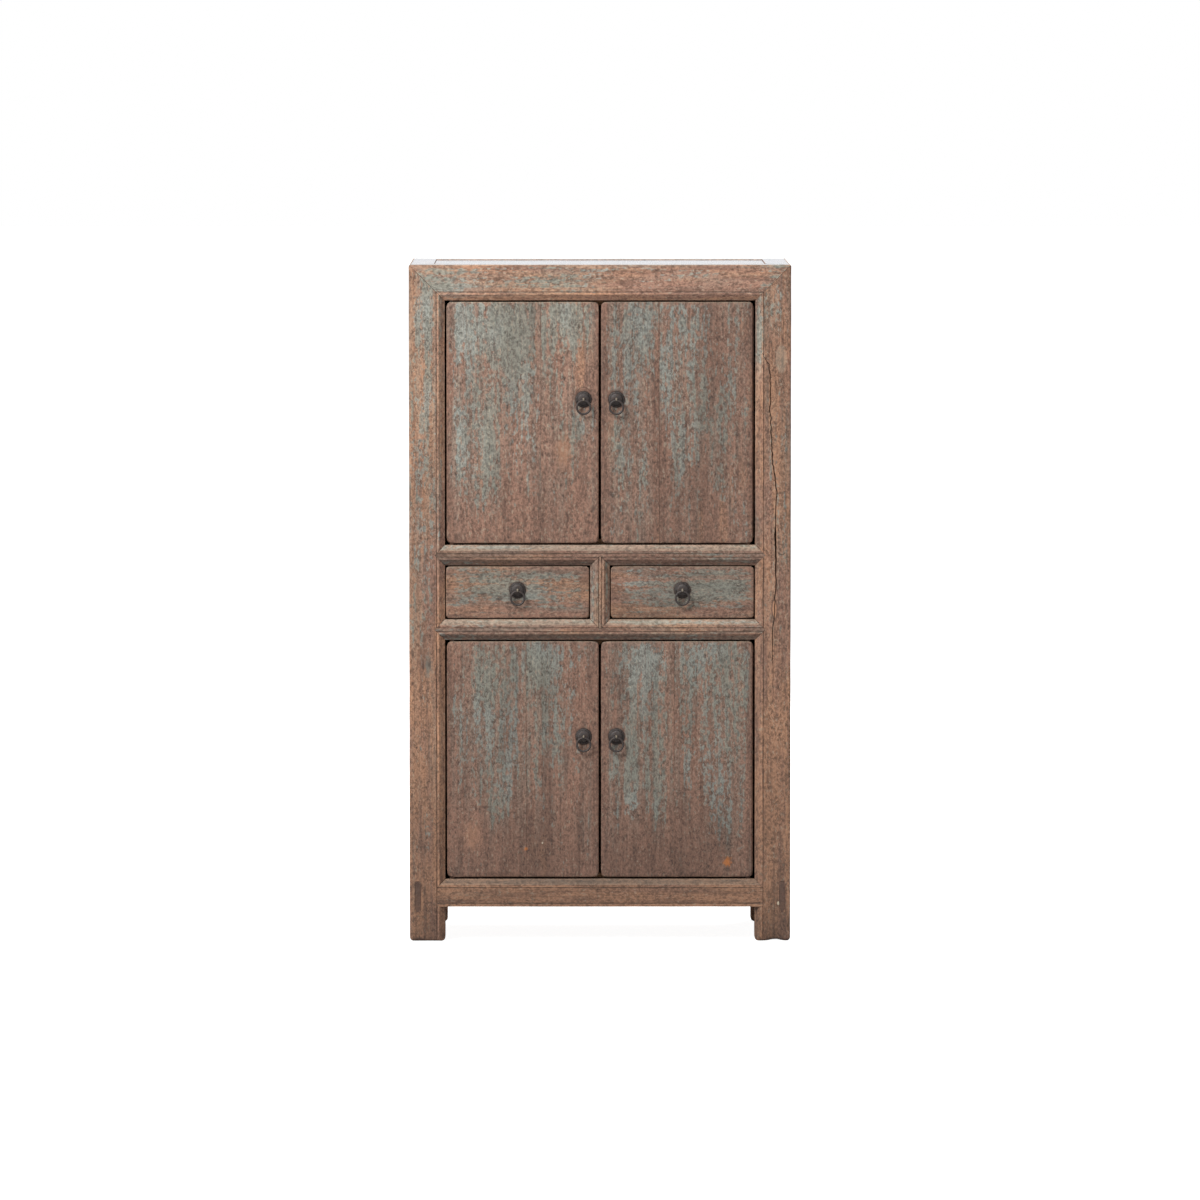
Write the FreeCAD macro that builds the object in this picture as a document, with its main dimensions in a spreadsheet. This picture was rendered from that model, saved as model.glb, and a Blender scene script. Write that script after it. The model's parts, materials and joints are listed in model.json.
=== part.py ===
"""Kang cabinet: a tall four-door, two-drawer cupboard in jointed, floating-panel joinery.

Millimetres, +Z up, +X to the right, the front faces -Y. The origin is on the floor, in the middle of the
whole cabinet seen from above. Every part is placed by words such as front(12), which means 12 mm behind the
posts' front faces. Only the left half is drawn: the right half is its mirror image.
"""
import FreeCAD, Part
import math
import os
import re

import Sketcher
from FreeCAD import Placement, Rotation, Vector

SIZES = {
    # the case
    "overall_w": 850,
    "overall_h": 1510,
    "case_d": 445,
    "foot_h": 77,
    "lower_door_opening_h": 535,
    "drawer_opening_h": 120,
    # posts and rails
    "post_w": 80,
    "post_d": 56,
    "top_rail_h": 80,
    "top_rail_w": 56,
    "waist_rail_h": 46,
    "bottom_rail_h": 62,
    "front_rail_d": 44,
    "back_rail_d": 30,
    "divider_w": 44,
    # mouldings worked on the inner edges of the front frame
    "bevel_w": 13,
    "bevel_d": 9,
    "quirk_in": 18,
    "quirk_w": 1.6,
    "quirk_d": 1.0,
    "sill_bead_h": 7,
    # joints of the front and back rails
    "shoulder_d": 14,
    "front_tenon_in": 18,
    "back_tenon_in": 10,
    "tenon_t": 13,
    "tenon_l": 45,
    "divider_tenon_l": 16,
    "divider_tenon_w": 26,
    # the posts' own tenons, which stand up into the mitred top corner
    "corner_tenon_l": 58,
    "corner_tenon_w": 26,
    "corner_tenon_in": 34,
    "side_corner_tenon_in": 28,
    "side_corner_tenon_w": 16,
    # side rails and their tenons
    "side_rail_t": 37,
    "side_tenon_in": 12,
    "side_tenon_l": 38,
    "side_bottom_z": 65,
    "side_bottom_h": 78,
    "end_grain_recess": 0.8,
    # floating panels and boards
    "panel_t": 10,
    "side_panel_in": 13.5,
    "back_panel_in": 11.5,
    "groove_d": 9,
    "groove_play": 0.2,
    "edge_play": 0.5,
    "top_panel_t": 14,
    "top_panel_drop": 2,
    "tongue_t": 6,
    "tongue_drop": 6,
    "deck_t": 12,
    "deck_drop": 12,
    "deck_groove_d": 8,
    "corner_play": 0.3,
    # shelves
    "shelf_t": 16,
    "shelf_end_play": 6,
    "shelf_edge_play": 2,
    "bearer_w": 24,
    "bearer_h": 24,
    "bearer_in": 50,
    "bearer_housing_d": 8,
    "shelf_height_share": 0.5,
    # doors
    "leaf_t": 22,
    "leaf_inset": 9,
    "door_side_gap": 3.5,
    "door_centre_gap": 4,
    "door_end_gap": 3,
    "leaf_ease": 3.5,
    "free_edge_ease": 1.5,
    "upper_seam_share": 0.618,
    "lower_seam_share": 0.52,
    "pivot_r": 6,
    "pivot_play": 0.3,
    "pivot_in": 12,
    "pivot_back": 12,
    "lower_socket_d": 12,
    "upper_socket_d": 18,
    "upper_pivot_l": 13,
    "batten_h": 26,
    "batten_t": 13,
    "batten_sink": 5,
    "batten_flare": 2,
    "batten_hinge_in": 30,
    "batten_free_in": 20,
    "batten_height_share": 0.2,
    "stop_l": 120,
    "stop_h": 12,
    "stop_play": 0.3,
    # drawers
    "drawer_gap": 1.5,
    "drawer_front_t": 20,
    "drawer_back_gap": 19.5,
    "drawer_side_t": 12,
    "drawer_side_h": 105,
    "drawer_side_in": 1,
    "dovetail_l": 12,
    "tail_tip_share": 0.68,
    "tail_root_share": 0.5,
    "drawer_back_t": 12,
    "drawer_back_in": 8,
    "drawer_back_drop": 8,
    "drawer_housing_d": 4,
    "drawer_bottom_t": 8,
    "drawer_bottom_up": 10,
    "drawer_groove_d": 6,
    # runners
    "runner_w": 24,
    "runner_play": 0.3,
    "guide_w": 20,
    "guide_h": 30,
    # pulls
    "door_pull_in": 34.5,
    "door_pull_share": 0.597,
    "drawer_pull_up": 5,
    "plate_r": 18.5,
    "plate_rim_t": 1.2,
    "dome_h": 5.2,
    "plate_wall_t": 1.4,
    "plate_hole_r": 3,
    "strip_w": 4,
    "strip_t": 1.6,
    "strip_play": 0.2,
    "clench_l": 14,
    "eye_stand": 9.6,
    "eye_drop": 2,
    "ring_r": 15.5,
    "wire_r": 2.1,
    "ring_play": 0.3,
    # how far a cutting tool runs past what it cuts
    "overrun": 5,
}

FLAT_COUNT = 24
WIRE_FLAT_COUNT = 8
EYE_FLAT_COUNT = 12
DOVETAIL_COUNT = 3
# height and radius of the dome's flats, as shares of its height and of the plate's radius
DOME_SHARES = ((0.32, 0.84), (0.74, 0.56), (1.0, 0.24))

doc = FreeCAD.newDocument("kang_cabinet")
sheet = doc.addObject("Spreadsheet::Sheet", "Sizes")
for row, (alias, number) in enumerate(SIZES.items(), start=1):
    sheet.set(f"A{row}", alias)
    sheet.set(f"B{row}", str(number))
    sheet.setAlias(f"B{row}", alias)
doc.recompute()

nodes = []


def bound(words):
    """The expression with each named size read from the sheet."""
    return re.sub(r"[a-z_]+", lambda m: f"Sizes.{m[0]}" if m[0] in SIZES else m[0], str(words))


def size(name):
    """A size's number, for the few shapes that are worked out point by point."""
    return float(sheet.get(name))


# places, counted inwards from the cabinet's outer faces

EYE_INNER_R = f"((wire_r + ring_play) / cos(180 deg / {EYE_FLAT_COUNT}))"
EYE_OUTER_R = f"((wire_r + ring_play + strip_t) / cos(180 deg / {EYE_FLAT_COUNT}))"
PROUD = f"(eye_stand + {EYE_OUTER_R} - leaf_inset)"


def left(inset):
    return f"(({inset}) - overall_w / 2)"


def right(inset):
    return f"(overall_w / 2 - ({inset}))"


def front(inset):
    return f"(({PROUD} - case_d) / 2 + ({inset}))"


def back(inset):
    return f"(({PROUD} + case_d) / 2 - ({inset}))"


def top(inset):
    return f"(overall_h - ({inset}))"


# heights of the rails, from the floor up

BOTTOM_RAIL = "foot_h"
LOWER_SILL = "(foot_h + bottom_rail_h)"
LOWER_WAIST = f"({LOWER_SILL} + lower_door_opening_h)"
DRAWER_SILL = f"({LOWER_WAIST} + waist_rail_h)"
UPPER_WAIST = f"({DRAWER_SILL} + drawer_opening_h)"
UPPER_SILL = f"({UPPER_WAIST} + waist_rail_h)"
TOP_RAIL = "(overall_h - top_rail_h)"
DOOR_ROWS = (("upper", UPPER_SILL, TOP_RAIL), ("lower", LOWER_SILL, LOWER_WAIST))
LEAF_FRONT = front("leaf_inset")
LEAF_BACK = front("leaf_inset + leaf_t")


def add(kind, label):
    made = doc.addObject(kind, label)
    made.Label = label
    return made


def keep(piece, name):
    """Names a finished sub-part; its label is also its file's name."""
    piece.Label = name
    nodes.append(piece)
    return piece


def box(label, xs, ys, zs):
    """A straight block between three pairs of named places."""
    block = add("Part::Box", label)
    for length, axis, (low, high) in zip(("Length", "Width", "Height"), "xyz", (xs, ys, zs)):
        block.setExpression(length, bound(f"({high}) - ({low})"))
        block.setExpression(f"Placement.Base.{axis}", bound(low))
    return block


def peg(label, x, y, low, high, radius):
    """An upright round pin or the hole for one."""
    pin = add("Part::Cylinder", label)
    pin.setExpression("Radius", bound(radius))
    pin.setExpression("Height", bound(f"({high}) - ({low})"))
    for axis, place in zip("xyz", (x, y, low)):
        pin.setExpression(f"Placement.Base.{axis}", bound(place))
    return pin


def profile(label, plane, corners, low, high):
    """A piece shaped along its whole length by one outline, drawn square to X, Y or Z, from low to high."""
    body = add("PartDesign::Body", label)
    sketch = body.newObject("Sketcher::SketchObject", f"{label}_outline")
    role = {"X": "YZ_Plane", "Y": "XZ_Plane", "Z": "XY_Plane"}[plane]
    origin_plane = next(f for f in body.Origin.OriginFeatures if f.Role == role)
    sketch.AttachmentSupport = [(origin_plane, "")]
    sketch.MapMode = "FlatFace"
    # the outline of a length along Y is drawn on a plane that looks towards -Y
    start = f"-({high})" if plane == "Y" else low
    sketch.setExpression("AttachmentOffset.Base.z", bound(start))
    count = len(corners)
    turn = 2 * math.pi / count
    ends = [Vector(math.cos(turn * i), math.sin(turn * i), 0) for i in range(count)]
    for i in range(count):
        sketch.addGeometry(Part.LineSegment(ends[i], ends[(i + 1) % count]), False)
    for i in range(count):
        sketch.addConstraint(Sketcher.Constraint("Coincident", i, 2, (i + 1) % count, 1))
    for i, corner in enumerate(corners):
        for kind, place in zip(("DistanceX", "DistanceY"), corner):
            row = sketch.addConstraint(Sketcher.Constraint(kind, -1, 1, i, 1, 1.0))
            sketch.setExpression(f"Constraints[{row}]", bound(place))
    pad = body.newObject("PartDesign::Pad", f"{label}_length")
    pad.Profile = sketch
    pad.setExpression("Length", bound(f"({high}) - ({low})"))
    return body


def cut(label, base, *tools):
    for number, tool in enumerate(tools):
        rest = add("Part::Cut", f"{label}_cut_{number}")
        rest.Base = base
        rest.Tool = tool
        base = rest
    return base


def join(label, *pieces):
    whole = add("Part::MultiFuse", label)
    whole.Shapes = list(pieces)
    whole.Refine = True
    return whole


def within(label, first, second):
    shared = add("Part::MultiCommon", label)
    shared.Shapes = [first, second]
    return shared


def mirrored(label, source):
    """The same piece on the right-hand side."""
    twin = add("Part::Mirroring", label)
    twin.Source = source
    twin.Normal = Vector(1, 0, 0)
    return twin


def group(name, pieces):
    """Like pieces that share one sub-part, as separate solids."""
    together = add("Part::Compound", name)
    together.Links = list(pieces)
    return keep(together, name)


def quirk(edge, way, face, inwards, inset="quirk_in"):
    """Three corners of a fine V groove beside a moulding; edge is where the moulding starts."""
    first = f"({edge}) {way} {inset}"
    middle = f"({edge}) {way} ({inset} + quirk_w / 2)"
    last = f"({edge}) {way} ({inset} + quirk_w)"
    return [(first, face), (middle, f"{face} {inwards} quirk_d"), (last, face)]


def turned(corners):
    """Swaps an outline's two directions."""
    return [(b, a) for a, b in corners]


# the four top rails, mitred three ways with the posts

def corner_tools(label, y, sign):
    """What comes off a front or back top rail's left end: the side rail's share, then the post's share."""
    o = "overrun"
    flat = [
        (left(f"-{o}"), y(f"-{o}")),
        (left(f"-{o}"), y(f"top_rail_w + {o}")),
        (left(f"top_rail_w + {o}"), y(f"top_rail_w + {o}")),
    ]
    upright = [
        (left(f"-{o}"), top(f"-{o} * top_rail_h / post_w")),
        (left(f"-{o}"), top(f"top_rail_h + {o} * top_rail_h / post_w")),
        (left(f"post_w + {o}"), top(f"top_rail_h + {o} * top_rail_h / post_w")),
    ]
    plan = profile(f"{label}_plan_mitre", "Z", flat, top(f"top_rail_h + {o}"), top(f"-{o}"))
    ends = sorted((y(f"-{o}"), y(f"top_rail_w + {o}")), reverse=sign < 0)
    face = profile(f"{label}_face_mitre", "Y", upright, *ends)
    return plan, face


def corner_tenon(label, y, sign):
    """The post's tenon that stands up into a front or back top rail."""
    ys = (y("front_tenon_in"), y("front_tenon_in + tenon_t"))
    xs = (left("corner_tenon_in"), left("corner_tenon_in + corner_tenon_w"))
    return box(label, xs, ys[::sign], (top("top_rail_h"), top("top_rail_h - corner_tenon_l")))


def side_corner_tenon(label, y, sign):
    """The post's tenon that stands up into a side top rail."""
    ys = (y("side_corner_tenon_in"), y("side_corner_tenon_in + side_corner_tenon_w"))
    xs = (left("side_tenon_in"), left("side_tenon_in + tenon_t"))
    return box(label, xs, ys[::sign], (top("top_rail_h"), top("top_rail_h - corner_tenon_l")))


def tongue_groove(face, inwards):
    """Four corners of the groove that holds the top panel's tongue, from the top down."""
    high = top("tongue_drop - groove_play")
    low = top("tongue_drop + tongue_t + groove_play")
    deep = f"{face} {inwards} groove_d"
    return [(face, high), (deep, high), (deep, low), (face, low)]


def make_top_rails():
    """Front, back and left rails of the top frame, each with the room that it takes out of the posts."""
    front_outline = [(front(0), top(0))]
    front_outline += turned(quirk(TOP_RAIL, "+", front(0), "+"))[::-1]
    front_outline += [
        (front(0), f"{TOP_RAIL} + bevel_w"),
        (front("bevel_d"), TOP_RAIL),
        (front("top_rail_w"), TOP_RAIL),
    ]
    front_outline += tongue_groove(front("top_rail_w"), "-")[::-1]
    front_outline += [(front("top_rail_w"), top(0))]
    low, high = f"{TOP_RAIL}", f"{TOP_RAIL} + groove_d"
    near, far = back("back_panel_in - groove_play"), back("back_panel_in + panel_t + groove_play")
    back_outline = [(back(0), top(0)), (back(0), low), (near, low), (near, high), (far, high), (far, low)]
    back_outline += [(back("top_rail_w"), TOP_RAIL)]
    back_outline += tongue_groove(back("top_rail_w"), "+")[::-1]
    back_outline += [(back("top_rail_w"), top(0))]
    rails = {}
    for name, outline, y, sign in (
        ("top_rail_front", front_outline, front, 1),
        ("top_rail_back", back_outline, back, -1),
    ):
        blank = profile(f"{name}_blank", "X", outline, left(0), right(0))
        tools = [*corner_tools(name, y, sign), corner_tenon(f"{name}_mortise", y, sign)]
        tools += [mirrored(f"{tool.Label}_right", tool) for tool in tools]
        depth = (y(0), y("top_rail_w"))[::sign]
        room = box(f"{name}_room", (left(0), right(0)), depth, (TOP_RAIL, top(0)))
        rails[name] = (cut(name, blank, *tools), cut(f"{name}_room", room, *tools))
    near, far = left("side_panel_in - groove_play"), left("side_panel_in + panel_t + groove_play")
    side_outline = [(left(0), top(0)), (left(0), low), (near, low), (near, high), (far, high), (far, low)]
    side_outline += [(left("top_rail_w"), TOP_RAIL)]
    side_outline += tongue_groove(left("top_rail_w"), "-")[::-1]
    side_outline += [(left("top_rail_w"), top(0))]
    side = profile("top_rail_left_blank", "Y", side_outline, front(0), back(0))
    tools = []
    for end, y, sign in (("front", front, 1), ("back", back, -1)):
        o = "overrun"
        flat = [
            (left(f"-{o}"), y(f"-{o}")),
            (left(f"top_rail_w + {o}"), y(f"-{o}")),
            (left(f"top_rail_w + {o}"), y(f"top_rail_w + {o}")),
        ]
        upright = [
            (y(f"-{o}"), top(f"-{o} * top_rail_h / post_d")),
            (y(f"-{o}"), top(f"top_rail_h + {o} * top_rail_h / post_d")),
            (y(f"post_d + {o}"), top(f"top_rail_h + {o} * top_rail_h / post_d")),
        ]
        tools += [
            profile(f"side_{end}_plan_mitre", "Z", flat, top(f"top_rail_h + {o}"), top(f"-{o}")),
            profile(f"side_{end}_face_mitre", "X", upright, left(f"-{o}"), left(f"top_rail_w + {o}")),
            side_corner_tenon(f"side_{end}_mortise", y, sign),
        ]
    room = box("top_rail_left_room", (left(0), left("top_rail_w")), (front(0), back(0)), (TOP_RAIL, top(0)))
    rails["top_rail_left"] = (cut("top_rail_left", side, *tools), cut("top_rail_left_room", room, *tools))
    return rails


# the front frame's lower rails and the divider between the drawers

def deck_groove(face, inwards, rail_top):
    """Four corners of the groove that holds a deck board, from the top down."""
    high = f"{rail_top} - deck_drop + groove_play"
    low = f"{rail_top} - deck_drop - deck_t - groove_play"
    deep = f"{face} {inwards} deck_groove_d"
    return [(face, high), (deep, high), (deep, low), (face, low)]


def moulded_rail(name, low, high, shoulder, waist):
    """A front rail with bevels and quirks, mitred shoulders and tenons, and the room that it takes."""
    outline = [(front("front_rail_d"), high), (front("bevel_d"), high), (front(0), f"{high} - bevel_w")]
    outline += turned(quirk(high, "-", front(0), "+"))
    if waist:
        outline += turned(quirk(low, "+", front(0), "+"))[::-1]
        outline += [(front(0), f"{low} + bevel_w"), (front("bevel_d"), low)]
    else:
        outline += turned(quirk(low, "+", front(0), "+", "sill_bead_h"))[::-1]
        outline += [(front(0), low)]
    outline += [(front("front_rail_d"), low)]
    outline += deck_groove(front("front_rail_d"), "-", high)[::-1]
    section = profile(f"{name}_section", "X", outline, left(0), right(0))
    shoulders = profile(f"{name}_shoulders", "Y", shoulder, front(0), front("shoulder_d"))
    between = (left("post_w"), right("post_w"))
    behind = box(f"{name}_behind", between, (front("shoulder_d"), front("front_rail_d")), (low, high))
    tenon = box(
        f"{name}_tenons",
        (left("post_w - tenon_l"), right("post_w - tenon_l")),
        (front("front_tenon_in"), front("front_tenon_in + tenon_t")),
        (f"{low} + groove_d", f"{high} - groove_d"),
    )
    room = join(f"{name}_outside", shoulders, behind, tenon)
    return within(name, section, room), room


def waist_shoulder(low):
    """A waist rail seen from the front: both ends come to a point over the posts."""
    high = f"{low} + waist_rail_h"
    middle = f"{low} + waist_rail_h / 2"
    reach = "post_w - waist_rail_h / 2"
    return [
        (left("post_w"), low),
        (right("post_w"), low),
        (right(reach), middle),
        (right("post_w"), high),
        (left("post_w"), high),
        (left(reach), middle),
    ]


def sill_shoulder():
    """The bottom rail seen from the front: mitred down to the quirk, then square."""
    reach = "post_w - quirk_in"
    return [
        (left(reach), BOTTOM_RAIL),
        (right(reach), BOTTOM_RAIL),
        (right(reach), f"{LOWER_SILL} - quirk_in"),
        (right("post_w"), LOWER_SILL),
        (left("post_w"), LOWER_SILL),
        (left(reach), f"{LOWER_SILL} - quirk_in"),
    ]


def make_divider():
    """The short post between the drawers, pointed into the rails above and below it."""
    half = "divider_w / 2"
    outline = [(half, front("front_rail_d")), (half, front("bevel_d")), (f"{half} - bevel_w", front(0))]
    outline += quirk(half, "-", front(0), "+")
    outline += quirk(f"0 - {half}", "+", front(0), "+")[::-1]
    outline += [(f"bevel_w - {half}", front(0)), (f"-{half}", front("bevel_d"))]
    outline += [(f"-{half}", front("front_rail_d"))]
    lowest, highest = f"{DRAWER_SILL} - {half}", f"{UPPER_WAIST} + {half}"
    section = profile("divider_section", "Z", outline, lowest, highest)
    pointed = [
        (f"-{half}", DRAWER_SILL),
        ("0", lowest),
        (half, DRAWER_SILL),
        (half, UPPER_WAIST),
        ("0", highest),
        (f"-{half}", UPPER_WAIST),
    ]
    shoulders = profile("divider_shoulders", "Y", pointed, front(0), front("shoulder_d"))
    depth = (front("shoulder_d"), front("front_rail_d"))
    behind = box("divider_behind", (f"-{half}", half), depth, (DRAWER_SILL, UPPER_WAIST))
    tenon = box(
        "divider_tenons",
        ("-divider_tenon_w / 2", "divider_tenon_w / 2"),
        (front("front_tenon_in"), front("front_tenon_in + tenon_t")),
        (f"{DRAWER_SILL} - divider_tenon_l", f"{UPPER_WAIST} + divider_tenon_l"),
    )
    room = join("divider_outside", shoulders, behind, tenon)
    return within("drawer_divider", section, room), room


def socket(name, rail_face, depth, opens_up):
    """The round socket in a rail for one pivot of a left-hand door."""
    x = left("post_w + door_side_gap + pivot_in")
    y = f"{LEAF_FRONT} + pivot_back"
    low, high = (f"{rail_face} - {depth}", f"{rail_face} + overrun")
    if not opens_up:
        low, high = (f"{rail_face} - overrun", f"{rail_face} + {depth}")
    return peg(name, x, y, low, high, "pivot_r + pivot_play")


def make_sockets():
    """All four sockets on the left, by the rail that holds them."""
    sockets = {
        "top_rail_front": socket("socket_1", TOP_RAIL, "upper_socket_d", False),
        "waist_rail_upper": socket("socket_2", UPPER_SILL, "lower_socket_d", True),
        "waist_rail_lower": socket("socket_3", LOWER_WAIST, "upper_socket_d", False),
        "bottom_rail_front": socket("socket_4", LOWER_SILL, "lower_socket_d", True),
    }
    return {rail: (hole, mirrored(f"{hole.Label}_right", hole)) for rail, hole in sockets.items()}


# side and back rails

def side_rail(name, low, high, through):
    """A left side rail, grooved for the panels above and below it and for the deck board."""
    near, far = left("side_panel_in - groove_play"), left("side_panel_in + panel_t + groove_play")
    inner = left("side_rail_t")
    outline = [(left(0), high), (left(0), low)]
    if not through:
        outline += [(near, low), (near, f"{low} + groove_d"), (far, f"{low} + groove_d"), (far, low)]
    outline += [(inner, low)]
    deck = LOWER_SILL if through else high
    outline += deck_groove(inner, "-", deck)[::-1]
    outline += [(inner, high), (far, high), (far, f"{high} - groove_d"), (near, f"{high} - groove_d")]
    outline += [(near, high)]
    rail = profile(f"{name}_rail", "Y", outline, front("post_d"), back("post_d"))
    reach = "end_grain_recess" if through else "post_d - side_tenon_l"
    tenon_low = low if through else f"{low} + groove_d"
    xs = (left("side_tenon_in"), left("side_tenon_in + tenon_t"))
    zs = (tenon_low, f"{high} - groove_d")
    front_tenon = box(f"{name}_front_tenon", xs, (front(reach), front("post_d")), zs)
    back_tenon = box(f"{name}_back_tenon", xs, (back("post_d"), back(reach)), zs)
    return join(name, rail, front_tenon, back_tenon)


def back_rail(name, low, high, waist):
    """A back rail with square shoulders, grooved for the back panels and for the deck board."""
    near, far = back("back_panel_in - groove_play"), back("back_panel_in + panel_t + groove_play")
    outline = [(back(0), high), (back(0), low)]
    if waist:
        outline += [(near, low), (near, f"{low} + groove_d"), (far, f"{low} + groove_d"), (far, low)]
    inner = back("back_rail_d")
    outline += [(inner, low)]
    outline += deck_groove(inner, "+", high)[::-1]
    outline += [(inner, high), (far, high), (far, f"{high} - groove_d"), (near, f"{high} - groove_d")]
    outline += [(near, high)]
    rail = profile(f"{name}_rail", "X", outline, left("post_w"), right("post_w"))
    ys = (back("back_tenon_in + tenon_t"), back("back_tenon_in"))
    zs = (f"{low} + groove_d", f"{high} - groove_d")
    tenon = box(f"{name}_tenon", (left("post_w - tenon_l"), left("post_w")), ys, zs)
    return join(name, rail, tenon, mirrored(f"{name}_tenon_right", tenon))


# posts

def side_groove(label, y, sign):
    """The groove in a left post for the side panels."""
    xs = (left("side_panel_in - groove_play"), left("side_panel_in + panel_t + groove_play"))
    ys = (y("post_d - groove_d"), y("post_d + overrun"))
    return box(label, xs, ys[::sign], ("side_bottom_z + side_bottom_h - groove_d", f"{TOP_RAIL} + groove_d"))


def make_posts(room, bearers):
    """The two left posts, cut by the room that each piece jointed into them needs."""
    outline = [(left(0), front(0))]
    outline += quirk(left("post_w"), "-", front(0), "+")[::-1]
    outline += [
        (left("post_w - bevel_w"), front(0)),
        (left("post_w"), front("bevel_d")),
        (left("post_w"), front("post_d")),
        (left(0), front("post_d")),
    ]
    front_blank = profile("post_front_blank", "Z", outline, "0", top(0))
    back_blank = box("post_back_blank", (left(0), left("post_w")), (back("post_d"), back(0)), ("0", top(0)))
    tenon = (left("side_tenon_in"), left("side_tenon_in + tenon_t"))
    tenon_z = ("side_bottom_z", "side_bottom_z + side_bottom_h - groove_d")
    through_front = box("through_front", tenon, (front("-overrun"), front("post_d")), tenon_z)
    through_back = box("through_back", tenon, (back("post_d"), back("-overrun")), tenon_z)
    back_groove = box(
        "back_groove",
        (left("post_w - groove_d"), left("post_w + overrun")),
        (back("back_panel_in + panel_t + groove_play"), back("back_panel_in - groove_play")),
        (f"{LOWER_SILL} - groove_d", f"{TOP_RAIL} + groove_d"),
    )
    shared = [room["top_rail_left"], *room["side_waists"], *bearers]
    front_names = ("top_rail_front", "waist_rail_upper", "waist_rail_lower", "bottom_rail_front")
    front_tools = [room[name] for name in front_names]
    front_tools += [through_front, side_groove("groove_front", front, 1)]
    back_tools = [room["top_rail_back"], room["bottom_rail_back"], *room["back_waists"]]
    back_tools += [through_back, back_groove, side_groove("groove_back", back, -1)]
    return (
        cut("post_front_left", front_blank, *front_tools, *shared),
        cut("post_back_left", back_blank, *back_tools, *shared),
    )


# panels, decks and shelves

def side_panel(name, low, high):
    """A floating panel: it stops short of the bottom of its grooves on every edge."""
    slack = "groove_d - edge_play"
    xs = (left("side_panel_in"), left("side_panel_in + panel_t"))
    ys = (front(f"post_d - ({slack})"), back(f"post_d - ({slack})"))
    return box(name, xs, ys, (f"{low} - ({slack})", f"{high} + ({slack})"))


def back_panel(name, low, high):
    slack = "groove_d - edge_play"
    xs = (left(f"post_w - ({slack})"), right(f"post_w - ({slack})"))
    ys = (back("back_panel_in + panel_t"), back("back_panel_in"))
    return box(name, xs, ys, (f"{low} - ({slack})", f"{high} + ({slack})"))


def deck_board(name, rail_top):
    """A board let into the rails all round and notched round the posts."""
    slack = "deck_groove_d - edge_play"
    xs = (left(f"side_rail_t - ({slack})"), right(f"side_rail_t - ({slack})"))
    ys = (front(f"front_rail_d - ({slack})"), back(f"back_rail_d - ({slack})"))
    zs = (f"{rail_top} - deck_drop - deck_t", f"{rail_top} - deck_drop")
    over = (f"{zs[0]} - overrun", f"{zs[1]} + overrun")
    board = box(f"{name}_board", xs, ys, zs)
    notch_x = (left(0), left("post_w + corner_play"))
    notches = [
        box(f"{name}_notch_front", notch_x, (front(0), front("post_d + corner_play")), over),
        box(f"{name}_notch_back", notch_x, (back("post_d + corner_play"), back(0)), over),
    ]
    notches += [mirrored(f"{notch.Label}_right", notch) for notch in notches]
    return cut(name, board, *notches)


def make_top_panel():
    """The top board, let in with a tongue all round and a little lower than its frame."""
    slack = "groove_d - edge_play"
    edge = "top_rail_w + corner_play"
    board = box(
        "top_panel_board",
        (left(edge), right(edge)),
        (front(edge), back(edge)),
        (top("top_panel_drop + top_panel_t"), top("top_panel_drop")),
    )
    tongue = box(
        "top_panel_tongue",
        (left(f"top_rail_w - ({slack})"), right(f"top_rail_w - ({slack})")),
        (front(f"top_rail_w - ({slack})"), back(f"top_rail_w - ({slack})")),
        (top("tongue_drop + tongue_t"), top("tongue_drop")),
    )
    return join("top_panel", board, tongue)


def make_shelf(row, low, high):
    """A loose shelf and the two bearers housed in the posts under it."""
    height = f"{low} + ({high} - {low}) * shelf_height_share"
    end = "side_panel_in + panel_t + shelf_end_play"
    shelf = box(
        f"shelf_{row}",
        (left(end), right(end)),
        (front("post_d + shelf_edge_play"), back("post_d + shelf_edge_play")),
        (height, f"{height} + shelf_t"),
    )
    bearer = box(
        f"bearer_{row}",
        (left("bearer_in"), left("bearer_in + bearer_w")),
        (front("post_d - bearer_housing_d"), back("post_d - bearer_housing_d")),
        (f"{height} - bearer_h", height),
    )
    return shelf, bearer


def make_runners():
    """Runners on the drawer deck: one beside each side and a wide one in the middle, all with guides."""
    deck = f"{DRAWER_SILL} - deck_drop"
    bed = f"{DRAWER_SILL} + drawer_gap - runner_play"
    guide_face = left("post_w + drawer_gap + drawer_side_in - runner_play")
    guide_back = left("post_w + drawer_gap + drawer_side_in - runner_play - guide_w")
    side_edge = left("post_w + drawer_gap + drawer_side_in + runner_w")
    side_outline = [
        (guide_back, deck),
        (side_edge, deck),
        (side_edge, bed),
        (guide_face, bed),
        (guide_face, f"{bed} + guide_h"),
        (guide_back, f"{bed} + guide_h"),
    ]
    half = "(divider_w / 2 + drawer_gap + drawer_side_in - runner_play)"
    wide = "(divider_w / 2 + drawer_gap + drawer_side_in + runner_w)"
    middle_outline = [
        (f"-{wide}", deck),
        (wide, deck),
        (wide, bed),
        (half, bed),
        (half, f"{bed} + guide_h"),
        (f"-{half}", f"{bed} + guide_h"),
        (f"-{half}", bed),
        (f"-{wide}", bed),
    ]
    side = profile("runner_side", "Y", side_outline, front("post_d"), back("post_d"))
    middle = profile("runner_middle", "Y", middle_outline, front("front_rail_d"), back("back_rail_d"))
    return side, middle, mirrored("runner_right", side)


def make_stops():
    """Strips on the rails behind the meeting edges, which the doors shut against."""
    stops = []
    for row, low, high in DOOR_ROWS:
        for end, zs in (("low", (low, f"{low} + stop_h")), ("high", (f"{high} - stop_h", high))):
            ys = (f"{LEAF_BACK} + stop_play", front("front_rail_d"))
            stops.append(box(f"stop_{row}_{end}", ("-stop_l / 2", "stop_l / 2"), ys, zs))
    return stops


# pulls

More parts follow.
